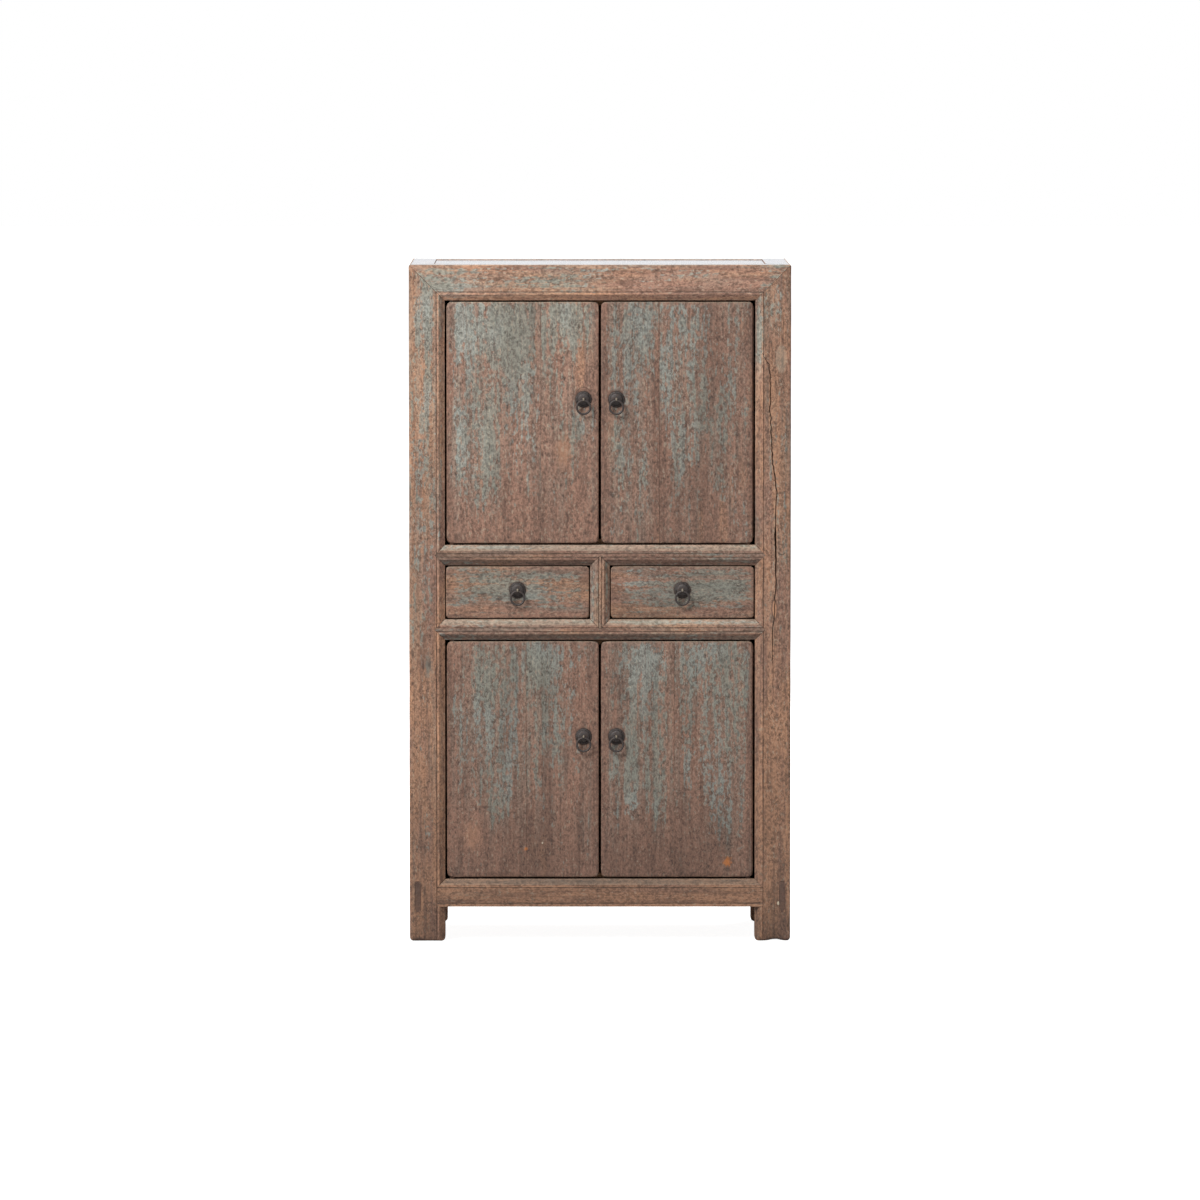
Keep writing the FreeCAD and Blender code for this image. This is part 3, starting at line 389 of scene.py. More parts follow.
def board_place(t, place):
    """The object's coordinates, moved by another amount for every board."""
    board = t.read("board")
    return t.vector("ADD", place, t.vector("MULTIPLY", t.join(board, board, board), (3.7, 5.3, 7.9)))


def finish(t, surface, rough, relief, depth, strength, metallic=0.0):
    """Bump, the surface shader and the output."""
    bump = t.first("ShaderNodeBump", {"Height": relief, "Distance": depth, "Strength": strength})
    inputs = {"Base Color": surface, "Roughness": rough, "Metallic": metallic, "Normal": bump}
    t.add("ShaderNodeOutputMaterial", {"Surface": t.first("ShaderNodeBsdfPrincipled", inputs)})


def painted_wood(owner, grain, cover=0.0, warmth=0.0, tone=1.0):
    """Old painted wood with its owner's marks, with more or less paint, warmer or darker."""
    material, t, coordinates, colours = new_material(f"{owner}_paint")
    place, normal = coordinates["Object"], t.split(coordinates["Normal"])
    inputs = {
        "Place": board_place(t, place),
        "Facing": normal["Z"],
        "Top": t.step(t.split(place)["Z"], CASE_HIGH.z - 2 * TOP_DEPTH, CASE_HIGH.z - TOP_DEPTH),
        "Edge": t.read("edge"),
        "Cover": t.plus(t.times(t.read("patch"), 0.16), cover),
        "Warmth": warmth,
        # the shade attribute, the lighter or darker sum of the patches, carries painted light and shade into
        # the tone
        "Tone": t.times(t.plus(t.times(t.read("shade"), 0.25), 1.0), tone),
        **{label: colours[label] for label in COAT_COLOURS},
    }
    coats = t.add("ShaderNodeGroup", inputs, node_tree=worn_paint(grain)).outputs
    settled = t.step(t.noise(place, (45.0,) * 3, 3), 0.36, 0.6, 0.15, 0.75)
    dirt = (t.times(t.step(t.read("deep"), 0.2, 0.8), settled), "grime")
    surface = t.lay(coats["Colour"], colours, dirt)
    in_front = t.step(normal["Y"], -0.2, -0.6)
    for share, tint, find in marks_on(owner):
        surface = t.mix(t.times(find(t, place), t.times(in_front, share)), surface, colours[tint])
    finish(t, surface, coats["Roughness"], coats["Relief"], 0.0007, 0.55)
    return material


def inside_wood(name, grain):
    """Unpainted, dusty softwood inside the case."""
    material, t, coordinates, colours = new_material(name)
    place = board_place(t, coordinates["Object"])
    rings = t.noise(place, along_grain(grain, 46, 1.6), 3, 0.55)
    fibre = t.noise(place, along_grain(grain, 360, 12), 3)
    stain = t.noise(place, along_grain(grain, 7, 4))
    surface = t.lay(
        colours["inside"], colours,
        (t.step(rings, 0.42, 0.6, 0.0, 0.6), "old"),
        (t.step(fibre, 0.52, 0.72, 0.0, 0.45), "grime"),
        (t.step(stain, 0.46, 0.68, 0.0, 0.5), "old"),
    )
    rough = t.step(stain, 0.3, 0.7, 0.85, 0.68)
    finish(t, surface, rough, t.plus(fibre, t.times(rings, 0.6)), 0.0006, 0.5)
    return material


def old_iron(name, rub_and_highlight):
    """Dark forged iron, rusty in its hollows, and lightened more or less: rubbed bright by hands, and a
    painted highlight.
    """
    material, t, coordinates, colours = new_material(name)
    dents = t.noise(coordinates["Object"], (230.0,) * 3, 2, 0.5)
    pits = t.noise(coordinates["Object"], (900.0,) * 3, 3, 0.65)
    rust = (t.step(dents, 0.48, 0.66, 0.0, 0.75), "rust")
    dirt = (t.step(pits, 0.56, 0.72, 0.0, 0.6), "grime")
    # the pale share is rubbed wear and a painted highlight
    surface = t.lay(colours["iron"], colours, rust, dirt, (rub_and_highlight, "dust"))
    rough = t.step(pits, 0.35, 0.65, 0.42, 0.7)
    finish(t, surface, rough, t.plus(dents, t.times(pits, 0.4)), 0.0008, 0.6, 0.3)
    return material


# marks that the photograph shows on the front: how much, the colour's name, and what finds where


def knot(share, tint, centre, half, rag=0.25, soft=0.35):
    """An oval with a ragged edge; half is half its width and height."""

    def find(t, place):
        away = t.vector("SUBTRACT", place, (centre[0], 0.0, centre[1]))
        away = t.span(t.vector("MULTIPLY", away, (1 / half[0], 0.0, 1 / half[1])))
        ragged = t.minus(t.noise(place, (150.0, 0.0, 90.0), 3), 0.5)
        return t.step(t.plus(away, t.times(ragged, 2 * rag)), 1.0, 1.0 - soft)

    return share, tint, find


def rubbed_arc(share, tint, centre, radius, width, side=1.0):
    """The upper half of a ring, or with side -1 its lower half."""

    def find(t, place):
        away = t.vector("SUBTRACT", place, (centre[0], 0.0, centre[1]))
        height = t.times(t.split(away)["Z"], side)
        off_ring = t.minus(t.span(t.vector("MULTIPLY", away, (1.0, 0.0, 1.0))), radius)
        ring = t.step(t.math("ABSOLUTE", off_ring), width, 0.2 * width)
        return t.times(ring, t.step(height, 0.1 * radius, 0.6 * radius))

    return share, tint, find


# worn shapes, made from the frame's own solids

# how far behind the case's front the corners of a moulding and the bottoms of its grooves lie
ON_FRONT = (-0.0001, 0.0001)
IN_GROOVE = (0.0005, 0.0015)
GROOVE_WIDTH = 0.0011
# cuts lie this far on both sides of a moulding's line, and at least so far apart
BESIDE_LINE = 0.0014
LEAST_GAP = 0.0003
# angles below which faces count as one, from which an edge wears, and below which it's smooth
FLAT = math.radians(0.5)
SHARP = math.radians(20)
SMOOTH = math.radians(38)
# the coarser mesh of slots without fine wear
STEP_OF_SLOT = {"panel_wood": 0.014, "bare_wood": 0.03}
# how quickly the wear and the hollows change from place to place
WEAR_SCALE = 22.0
HOLLOW_SCALE = 14.0


def listed(items, name, width=3, kind=float):
    """An attribute of all the items, as one row of numbers for each."""
    flat = np.empty(len(items) * width, kind)
    items.foreach_get(name, flat)
    return flat.reshape(-1, width)


def corners(node):
    return listed(frame["nodes"][node].data.vertices, "co")


def crack_cutter(node, material):
    """The long crack of a post, as a body to be cut out of it."""
    low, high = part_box(node)
    wide, tall, width = high.x - low.x, high.z - low.z, wear().crack
    path = [(low.x + across * wide, 0.0, low.z + up * tall) for across, up, _ in CRACK]
    inputs = {
        "Step": 2 * width, "Wander": width, "Sides": 6, "Stretch": (1.0, CRACK_DEPTH_SHARE, 1.0),
        "Hammering": 0.0, "Seed": 1, "Centre": (0.0, low.y, 0.0), "Material": material,
    }
    curve = path_curve("crack", path, [share * width / 2 for *_, share in CRACK])
    cutter = grow("crack", sweep_tree(), inputs, curve)
    deep = cutter.data.attributes.new("deep", "FLOAT", "POINT").data
    deep.foreach_set("value", np.ones(len(deep)))
    return cutter


def cut(mesh, cutter):
    """The mesh with the cutter's body taken away; its new vertices get the board number of the rest."""
    block = new_object("block", mesh)
    modifier = block.modifiers.new("cut", "BOOLEAN")
    modifier.operation = "DIFFERENCE"
    modifier.solver = "MANIFOLD"
    modifier.object = cutter
    result = final_mesh(block, mesh.name)
    bpy.data.objects.remove(cutter)
    board = result.attributes["board"].data
    board.foreach_set("value", np.full(len(board), board[0].value))
    return result


def closed_solids(mesh):
    """The solids in a node's mesh, each as its points and its triangles. They lie one after the other."""
    points, welded = np.unique(listed(mesh.vertices, "co"), axis=0, return_inverse=True)
    mesh.calc_loop_triangles()
    triangles = welded.reshape(-1)[listed(mesh.loop_triangles, "vertices", kind=np.int32)]
    unmatched = set()
    start = 0
    for end, (a, b, c) in enumerate(triangles.tolist(), start=1):
        unmatched ^= {frozenset(pair) for pair in ((a, b), (b, c), (c, a))}
        if not unmatched:
            used, local = np.unique(triangles[start:end], return_inverse=True)
            yield points[used], local.reshape(-1, 3)
            start = end
    if unmatched:
        raise RuntimeError(f"{mesh.name} has a solid that isn't closed")


def solid_faces(points, triangles):
    grid = bmesh.new()
    spots = [grid.verts.new(p) for p in points]
    for triangle in triangles:
        grid.faces.new([spots[i] for i in triangle])
    bmesh.ops.dissolve_limit(grid, angle_limit=FLAT, verts=grid.verts, edges=grid.edges)
    return grid


def halve(grid, faces, axis, places):
    """Cuts faces by planes square to an axis, the middle one first, so that each cut meets few faces."""
    if not places or not faces:
        return
    half = len(places) // 2
    middle = places[half]
    normal = Vector((axis == 0, axis == 1, axis == 2))
    parts = [*{v for f in faces for v in f.verts}, *{e for f in faces for e in f.edges}, *faces]
    made = bmesh.ops.bisect_plane(grid, geom=parts, dist=1e-6, plane_co=normal * middle, plane_no=normal)
    sides = ([], [])
    for part in made["geom"]:
        if isinstance(part, bmesh.types.BMFace):
            sides[part.calc_center_median()[axis] > middle].append(part)
    halve(grid, sides[0], axis, places[:half])
    halve(grid, sides[1], axis, places[half + 1 :])


def cut_places(low, high, step, edge, lines):
    """Places of the cuts along one axis: close together at both ends and beside each line."""
    count = max(1, round((high - low) / step))
    places = [low + (high - low) * i / count for i in range(1, count)]
    near = [edge * share for share in (0.12, 0.4, 1.0, 2.0)]
    special = [low + d for d in near] + [high - d for d in near]
    special += [line + d for line in lines for d in (-BESIDE_LINE, BESIDE_LINE)]
    clear = [p for p in places if all(abs(p - s) > step / 3 for s in special)]
    kept = []
    for place in sorted(clear + [s for s in special if low < s < high]):
        if not kept or place - kept[-1] > LEAST_GAP:
            kept.append(place)
    return kept


def rounded(points, low, high, edge, corner):
    """Moves the skin of a block onto worn edges; corner is its corners' radius seen from the front."""
    inside = np.all((points >= np.array(low) - 1e-5) & (points <= np.array(high) + 1e-5), axis=1)
    corner = np.maximum(corner, edge)
    core = points.copy()
    for axis in (0, 2):
        core[:, axis] = np.clip(points[:, axis], low[axis] + corner, high[axis] - corner)
    away = points - core
    reach = np.minimum(1.0, (corner - edge) / np.maximum(np.hypot(away[:, 0], away[:, 2]), 1e-9))
    core += away * reach[:, None]
    core[:, 1] = np.clip(points[:, 1], low[1] + edge, high[1] - edge)
    away = points - core
    span = np.linalg.norm(away, axis=1)
    moved = core + away * (edge / np.maximum(span, 1e-9))[:, None]
    return np.where((inside & (span > edge))[:, None], moved, points)


def own_shape(low, high, edge, corner=0.0):
    """Wear of a piece inside its own outline."""
    return lambda places, uneven: rounded(places, low, high, edge * uneven, corner)


def case_shape(places, uneven):
    """Wear that all pieces of the case share, so that it runs on from piece to piece."""
    sizes = wear()
    return rounded(places, CASE_LOW, CASE_HIGH, sizes.edge * uneven, sizes.case_corner)


def foot_shape(node):
    """The case's wear, the foot's rounding near the floor, and the hollow in the right foot's sole."""
    low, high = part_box(node)
    sizes = wear()
    foot_top = 0.05
    hollow_middle = (low.x + high.x) / 2 + 0.006
    hollow_width = 0.014

    def shape(places, uneven):
        places = case_shape(places, uneven)
        worn = rounded(places, low, high, 2 * sizes.edge * uneven, sizes.foot)
        places = np.where(places[:, 2:] < foot_top, worn, places)
        if node.endswith("right"):
            hollow = np.exp(-(((places[:, 0] - hollow_middle) / hollow_width) ** 2))
            fade = np.clip(1 - places[:, 2] / foot_top, 0.0, 1.0) ** 2
            places[:, 2] += sizes.foot_hollow * hollow * fade
        return places

    return shape


def leaf_box(node):
    """The box of a leaf's boards without the pivots: as wide and high as its front face."""
    low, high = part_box(node)
    face = foremost(node)
    return Vector((low.x, low.y, face[:, 2].min())), Vector((high.x, high.y, face[:, 2].max()))


def foremost(node):
    """The corners of a node's foremost face."""
    points = corners(node)
    return points[points[:, 1] < points[:, 1].min() + ON_FRONT[1]]


def wander(points, scale, seed):
    """Smooth noise from -1 to 1 at each point."""
    shift = Vector((seed * 3.1, seed * 5.7, seed * 7.3))
    return np.array([noise.noise(Vector(p) + shift) for p in points * scale])


def worn_places(grid, places, shape, seed):
    """Where the vertices of a solid go: edges rounded, and the faces slightly hollowed."""
    places = shape(places, 1 + 0.5 * wander(places, WEAR_SCALE, seed))
    for v, place in zip(grid.verts, places):
        v.co = place
    grid.normal_update()
    normals = np.array([v.normal for v in grid.verts])
    depth = wear().undulation * (0.5 + 0.5 * wander(places, HOLLOW_SCALE, seed + 31))
    return places - normals * np.clip(depth, 0.0, None)[:, None]


def edge_share(grid, fade):
    """How near each vertex is to a sharp outer edge, from 0 to 1.

    Only edges along an axis count: mitred joints run aslant, and nobody rubs them.
    """
    ends = []
    for edge in grid.edges:
        first, last = (v.co for v in edge.verts)
        straight = max(map(abs, (last - first).normalized())) > 0.98
        if straight and edge.calc_face_angle_signed(0.0) > SHARP:
            ends += [first, (first + last) / 2]
    if not ends:
        return np.zeros(len(grid.verts))
    tree = KDTree(len(ends))
    for at, end in enumerate(ends):
        tree.insert(end, at)
    tree.balance()
    return np.array([math.exp(-tree.find(v.co)[2] / fade) for v in grid.verts])


def lines_at(node, axis, depths):
    """Places along an axis of the corners that lie between two depths behind the case's front."""
    points = corners(node)
    behind = points[:, 1] - CASE_LOW.y
    return sorted(set(np.round(points[(behind > depths[0]) & (behind < depths[1]), axis], 5)))


def groove_dirt(places, axis, lines):
    """Dirt that has settled in the grooves of the front, from 0 to 1 at each place."""
    dirt = np.zeros(len(places))
    for line in lines:
        dirt = np.maximum(dirt, np.exp(-(((places[:, axis] - line) / GROOVE_WIDTH) ** 2)))
    return dirt * (places[:, 1] < CASE_LOW.y + IN_GROOVE[1])


def mark_patches(mesh, low, high, patches):
    """Writes two sums of soft ovals to the vertices: more or less paint, and lighter or darker, which the
    tables also use for painted light and shade.

    Each oval is its middle, its half width and half height in shares of the box, and the two amounts.
    """
    size = np.maximum(np.array(high) - np.array(low), 1e-6)
    share = (listed(mesh.vertices, "co") - np.array(low)) / size
    totals = np.zeros((2, len(share)))
    for across, up, half_across, half_up, *amounts in patches:
        off = ((share[:, 0] - across) / half_across) ** 2 + ((share[:, 2] - up) / half_up) ** 2
        totals += np.outer(amounts, np.exp(-off))
    for label, values in zip(("patch", "shade"), totals):
        mesh.attributes.new(label, "FLOAT", "POINT").data.foreach_set("value", values)


def dress(node, material, slot="frame_wood", shape=None, across=None, patches=(), cutter=None):
    """Puts a worn copy in a node's place: rounded edges, hollows, and attributes for the finish.

    Across is the axis that the lines of a moulding follow each other along, if the piece has one.
    """
    if slot == "frame_wood":
        shape = shape or case_shape
    edge, step = wear().edge, STEP_OF_SLOT.get(slot, wear().step)
    lines, grooves = [[] if across is None else lines_at(node, across, at) for at in (ON_FRONT, IN_GROOVE)]
    whole = bmesh.new()
    layers = [whole.verts.layers.float.new(label) for label in ("edge", "deep", "board")]
    for number, (points, triangles) in enumerate(closed_solids(frame["nodes"][node].data)):
        grid = solid_faces(points, triangles)
        low, high = points.min(0), points.max(0)
        for axis in range(3):
            cuts = cut_places(low[axis], high[axis], step, edge, lines if axis == across else ())
            halve(grid, grid.faces[:], axis, cuts)
        places = np.array([v.co for v in grid.verts])
        near_edge = edge_share(grid, 1.6 * edge)
        dirt = groove_dirt(places, across or 0, grooves)
        seed = sum(map(ord, node)) % 97 + number
        board = (seed % 11) / 11 + number * 0.37
        places = worn_places(grid, places, shape or own_shape(low, high, wear().board_edge), seed)
        grid.verts.index_update()
        spots = []
        for place, *amounts in zip(places, near_edge, dirt):
            spots.append(whole.verts.new(place))
            for layer, amount in zip(layers, (*amounts, board)):
                spots[-1][layer] = amount
        for face in grid.faces:
            whole.faces.new([spots[v.index] for v in face.verts])
        grid.free()
    bmesh.ops.triangulate(whole, faces=[f for f in whole.faces if len(f.verts) > 4])
    worn = bpy.data.meshes.new(f"{node}_worn")
    whole.to_mesh(worn)
    whole.free()
    worn.materials.append(material)
    if cutter:
        worn = cut(worn, cutter)
    mark_patches(worn, *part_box(node), patches)
    worn.shade_smooth()
    worn.set_sharp_from_angle(angle=SMOOTH)
    settle(new_object(f"{node}_worn", worn), node)


# operators, one for each group of like pieces


class DressPosts(bpy.types.Operator):
    """Wear, mouldings and rubbed paint on the four corner posts"""

    bl_idname = "kang_cabinet.dress_posts"
    bl_label = "Posts"

    def execute(self, context):
        for hand, cover, tone in (("left", -0.07, 0.852), ("right", -0.17, 0.765)):
            coat = painted_wood(f"post_{hand}", "Z", cover, 0.35, tone)
            front, back = f"post_front_{hand}", f"post_back_{hand}"
            cutter = crack_cutter(front, coat) if front == CRACKED else None
            dress(front, coat, "frame_wood", foot_shape(front), 0, PATCHES[f"post_{hand}"], cutter)
            dress(back, coat, shape=foot_shape(back))
        return {"FINISHED"}


class DressFrontRails(bpy.types.Operator):
    """Worn mouldings of the front's top rail, waist rails, divider and bottom rail"""

    bl_idname = "kang_cabinet.dress_front_rails"
    bl_label = "Front rails"

    def execute(self, context):
        for node, cover, warmth, tone in (
            ("top_rail_front", -0.11, 0.15, 1.043),
            ("waist_rail_upper", -0.08, -0.1, 0.79),
            ("waist_rail_lower", -0.08, -0.1, 0.79),
            ("bottom_rail_front", -0.42, 0.6, 0.545),
        ):
            coat = painted_wood(node, "X", cover, warmth, tone)
            dress(node, coat, across=2, patches=PATCHES[node])
        dress("drawer_divider", painted_wood("divider", "Z", 0.0, -0.3, 0.78), across=0)
        return {"FINISHED"}


class DressSidesAndBack(bpy.types.Operator):
    """Rails and panels of the sides, the back and the top"""

    bl_idname = "kang_cabinet.dress_sides_and_back"
    bl_label = "Sides, back and top"

    def execute(self, context):
        coat = painted_wood("side_rail", "Y", -0.12, 0.1, 0.88)
        for rail in ("top_rail", "bottom_rail"):
            for hand in HANDS:
                dress(f"{rail}_{hand}", coat)
        dress("side_waist_rails", coat)
        coat = painted_wood("back_rail", "X", -0.14, 0.0, 0.82)
        dress("bottom_rail_back", coat)
        dress("back_waist_rails", coat)
        top_coat = painted_wood("top_panel", "X", -0.05, 0.2, 0.94)
        own = own_shape(*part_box("top_rail_back"), wear().edge)
        dress(
            "top_rail_back", top_coat,
            shape=lambda places, uneven: own(case_shape(places, uneven), uneven),
        )
        coat = painted_wood("side_panel", "Z", 0.02, 0.0, 0.9)
        for hand in HANDS:
            dress(f"side_panels_{hand}", coat, "panel_wood")
        coat = painted_wood("back_panel", "Z", -0.2, 0.0, 0.8)
        dress("back_panels", coat, "panel_wood")
        shape = own_shape(*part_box("top_panel"), wear().board_edge / 3)
        dress("top_panel", top_coat, "panel_wood", shape)
        return {"FINISHED"}


class DressInside(bpy.types.Operator):
    """Boards, shelves, runners and stops inside the case"""

    bl_idname = "kang_cabinet.dress_inside"
    bl_label = "Inside"

    def execute(self, context):
        wood = inside_wood("inside_wood_across", "X")
        for node in ("deck_boards", "shelves", "door_stops"):
            dress(node, wood, "bare_wood")
        wood = inside_wood("inside_wood_deep", "Y")
        for node in ("shelf_bearers", "drawer_runners"):
            dress(node, wood, "bare_wood")
        return {"FINISHED"}


class DressDoors(bpy.types.Operator):
    """Four door leaves with their battens"""

    bl_idname = "kang_cabinet.dress_doors"
    bl_label = "Doors"

    def execute(self, context):
        batten_wood = inside_wood("batten_wood", "X")
        for door, look in DOOR_LOOKS.items():
            coat = painted_wood(door, "Z", *look)
            shape = own_shape(*leaf_box(f"{door}_leaf"), wear().edge, wear().door_corner)
            dress(f"{door}_leaf", coat, "painted_wood", shape, patches=PATCHES[door])
            dress(f"{door}_battens", batten_wood, "bare_wood")
        return {"FINISHED"}


class DressDrawers(bpy.types.Operator):
    """Two drawers: painted fronts and plain boxes"""

    bl_idname = "kang_cabinet.dress_drawers"
    bl_label = "Drawers"

    def execute(self, context):
        side_wood = inside_wood("drawer_side_wood", "Y")
        cross_wood = inside_wood("drawer_cross_wood", "X")
        for drawer, look in DRAWER_LOOKS.items():
            coat = painted_wood(drawer, "X", *look)
            shape = own_shape(*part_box(f"{drawer}_front"), wear().edge, wear().drawer_corner)
            dress(f"{drawer}_front", coat, "painted_wood", shape, patches=PATCHES[drawer])
            for part, wood in (("sides", side_wood), ("back", cross_wood), ("bottom", cross_wood)):
                dress(f"{drawer}_{part}", wood, "bare_wood")
        return {"FINISHED"}


# pulls, grown by node trees

# how many straight pieces make a full circle
ROUND = 72


def geometry_tree(name, inputs):
    """A geometry tree with inputs of its own and those that all the trees share."""
    shared = {"Hammering": "Float", "Seed": "Int", "Centre": "Vector", "Material": "Material"}
    return new_group(name, "GeometryNodeTree", inputs | shared, {"Geometry": "Geometry"})


def end_tree(t, given, shape, turned=False):
    """Stands a lying shape up if asked; hammer marks, then Realize Instances and Set Material."""
    if turned:
        shape = t.first("GeometryNodeTransform", {"Geometry": shape, "Rotation": (math.pi / 2, 0.0, 0.0)})
    shift = t.join(given["Seed"], given["Seed"], given["Seed"])
    place = t.vector("ADD", t.first("GeometryNodeInputPosition"), shift)
    dents = t.add("ShaderNodeTexNoise", {"Vector": place, "Scale": 260.0, "Detail": 1.0}).outputs["Color"]
    push = {0: t.vector("SUBTRACT", dents, (0.5, 0.5, 0.5)), "Scale": t.times(given["Hammering"], 4.0)}
    push = t.first("ShaderNodeVectorMath", push, operation="SCALE")
    shape = t.first("GeometryNodeSetPosition", {"Geometry": shape, "Offset": push})
    shape = t.first("GeometryNodeTransform", {"Geometry": shape, "Translation": given["Centre"]})
    shape = t.first("GeometryNodeRealizeInstances", {0: shape})
    shape = t.first("GeometryNodeSetShadeSmooth", {0: shape})
    shape = t.first("GeometryNodeSetMaterial", {"Geometry": shape, "Material": given["Material"]})
    t.add("NodeGroupOutput", {0: shape})
    return t.tree


def ring_tree():
    """A forged ring that hangs in the plane of the front."""
    t, given = geometry_tree("forged_ring", {"Ring Radius": "Float", "Wire Radius": "Float"})
    path = t.first("GeometryNodeCurvePrimitiveCircle", {"Resolution": ROUND, "Radius": given["Ring Radius"]})
    wire = t.first("GeometryNodeCurvePrimitiveCircle", {"Resolution": 18, "Radius": given["Wire Radius"]})
    ring = t.first("GeometryNodeCurveToMesh", {"Curve": path, "Profile Curve": wire})
    return end_tree(t, given, ring, turned=True)


def plate_tree():
    """A round back plate: a raised dome in a flat rim, closed behind."""
    inputs = dict.fromkeys(("Plate Radius", "Dome Height", "Rim"), "Float")
    t, given = geometry_tree("domed_plate", inputs)
    disc = {"Vertices": ROUND, "Radius": given["Plate Radius"]}
    sheet = t.first("GeometryNodeMeshCircle", disc, fill_type="TRIANGLE_FAN")
    sheet = t.first("GeometryNodeSubdivideMesh", {"Mesh": sheet, "Level": 3})
    share = t.math("DIVIDE", t.span(t.first("GeometryNodeInputPosition")), given["Plate Radius"])
    # flat near the edge but for one raised ring, a steep round shoulder, then a nearly flat middle
    fall = t.math("POWER", t.math("DIVIDE", share, 0.74), 2.6)
    bowl = t.math("SQRT", t.math("MAXIMUM", t.minus(1.0, fall), 0.0))
    height = t.plus(given["Rim"], t.times(bowl, t.minus(given["Dome Height"], given["Rim"])))
    ridge = t.step(t.math("ABSOLUTE", t.minus(share, 0.84)), 0.09, 0.0)
    height = t.times(t.plus(height, t.times(ridge, given["Rim"])), t.step(share, 0.998, 0.95))
    domed = t.first("GeometryNodeSetPosition", {"Geometry": sheet, "Offset": t.join(z=height)})
    both = t.add("GeometryNodeJoinGeometry")
    for side in (domed, t.first("GeometryNodeFlipFaces", {0: sheet})):
        t.tree.links.new(side, both.inputs[0])
    sewn = t.first("GeometryNodeMergeByDistance", {"Geometry": both.outputs[0], "Distance": 0.00001})
    return end_tree(t, given, sewn, turned=True)


def sweep_tree():
    """A bar along the source's curve, as thick as the curve's radius says, then stretched."""
    inputs = {"Path": "Geometry", "Step": "Float", "Wander": "Float", "Sides": "Int", "Stretch": "Vector"}
    t, given = geometry_tree("swept_bar", inputs)
    fine = {"Curve": given["Path"], "Length": given["Step"]}
    path = t.first("GeometryNodeResampleCurve", fine, mode="LENGTH")
    rough = {"Vector": t.first("GeometryNodeInputPosition"), "Scale": 55.0, "Detail": 4.0, "Roughness": 0.65}
    sway = t.times(t.minus(t.first("ShaderNodeTexNoise", rough), 0.5), t.times(given["Wander"], 4.0))
    path = t.first("GeometryNodeSetPosition", {"Geometry": path, "Offset": t.join(sway)})
    outline = t.first("GeometryNodeCurvePrimitiveCircle", {"Resolution": given["Sides"], "Radius": 1.0})
    swept = {"Curve": path, "Profile Curve": outline, "Scale": t.first("GeometryNodeInputRadius")}
    bar = t.first("GeometryNodeCurveToMesh", swept | {"Fill Caps": True})
    bar = t.first("GeometryNodeTransform", {"Geometry": bar, "Scale": given["Stretch"]})
    return end_tree(t, given, bar)


def path_curve(name, points, radii):
    """A curve through the points, with a radius at each."""
    curve = bpy.data.curves.new(name, "CURVE")
    curve.dimensions = "3D"
    line = curve.splines.new("POLY")
    line.points.add(len(points) - 1)
    for at, point, radius in zip(line.points, points, radii):
        at.co = (*point, 1.0)
        at.radius = radius
    return curve


def grow(name, tree, inputs, curve=None):
    """Runs a geometry tree once, on a curve if one is given. The result is a plain mesh object."""
    source = new_object(f"{name}_source", curve or bpy.data.meshes.new(f"{name}_source"))
    modifier = source.modifiers.new("grow", "NODES")
    modifier.node_group = tree
    sockets = {item.name: item.identifier for item in tree.interface.items_tree if item.in_out == "INPUT"}
    for label, value in inputs.items():
        modifier[sockets[label]] = value
    return new_object(name, final_mesh(source, name))


def cotter_path(low, high, sizes):
    """Up the back of the wood, through it, round the eye and back again, in the plane across the middle."""
    half = sizes.strip / 2
    bend = sizes.eye - half
    middle = (low.z + high.z) / 2
    eye, back = low.y + sizes.eye + sizes.hammering, high.y - half
    gap = math.asin(half / bend)
    turns = 28
    angles = [gap + (2 * math.pi - 2 * gap) * i / turns for i in range(turns + 1)]
    ring = [(0.0, eye + bend * math.cos(a), middle + bend * math.sin(a)) for a in angles]
    legs = [[(0.0, back, middle + s * (high.z - middle)), (0.0, back, middle + s * half)] for s in (1, -1)]
    return [*legs[0], *ring, *reversed(legs[1])]


class ForgePulls(bpy.types.Operator):
    """Six ring pulls: domed back plate, cotter and ring"""

    bl_idname = "kang_cabinet.forge_pulls"
    bl_label = "Pulls"

    def execute(self, context):
        sizes = context.scene.cabinet_pulls
        # the cotters' iron is lightened: rubbed wear and a painted highlight
        iron, bright = old_iron("old_iron", 0.0), old_iron("rubbed_highlit_iron", 0.35)
        rings, plates, bars = ring_tree(), plate_tree(), sweep_tree()
        half, stretch = sizes.strip / 2, (sizes.strip_width / sizes.strip, 1.0, 1.0)
        for number, owner in enumerate((*DOOR_LOOKS, *DRAWER_LOOKS)):
            common = {"Hammering": sizes.hammering, "Seed": sizes.seed + number, "Material": iron}
            low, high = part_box(f"{owner}_ring")
            inputs = {"Ring Radius": (high.x - low.x) / 2 - sizes.wire, "Wire Radius": sizes.wire}
            inputs["Centre"] = (low + high) / 2
            settle(grow(f"{owner}_forged_ring", rings, common | inputs), f"{owner}_ring")
            low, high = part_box(f"{owner}_backplate")
            inputs = {"Plate Radius": (high.x - low.x) / 2, "Dome Height": sizes.dome, "Rim": sizes.rim}
            inputs["Centre"] = ((low.x + high.x) / 2, high.y, (low.z + high.z) / 2)
            settle(grow(f"{owner}_forged_plate", plates, common | inputs), f"{owner}_backplate")
            path = cotter_path(*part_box(f"{owner}_cotter"), sizes)
            inputs = {"Centre": ((low.x + high.x) / 2, 0.0, 0.0), "Stretch": stretch, "Material": bright}
            inputs |= {"Step": half, "Wander": 0.0, "Sides": 12}
            curve = path_curve(f"{owner}_cotter", path, [half] * len(path))
            settle(grow(f"{owner}_forged_cotter", bars, common | inputs, curve), f"{owner}_cotter")
        return {"FINISHED"}


# the studio

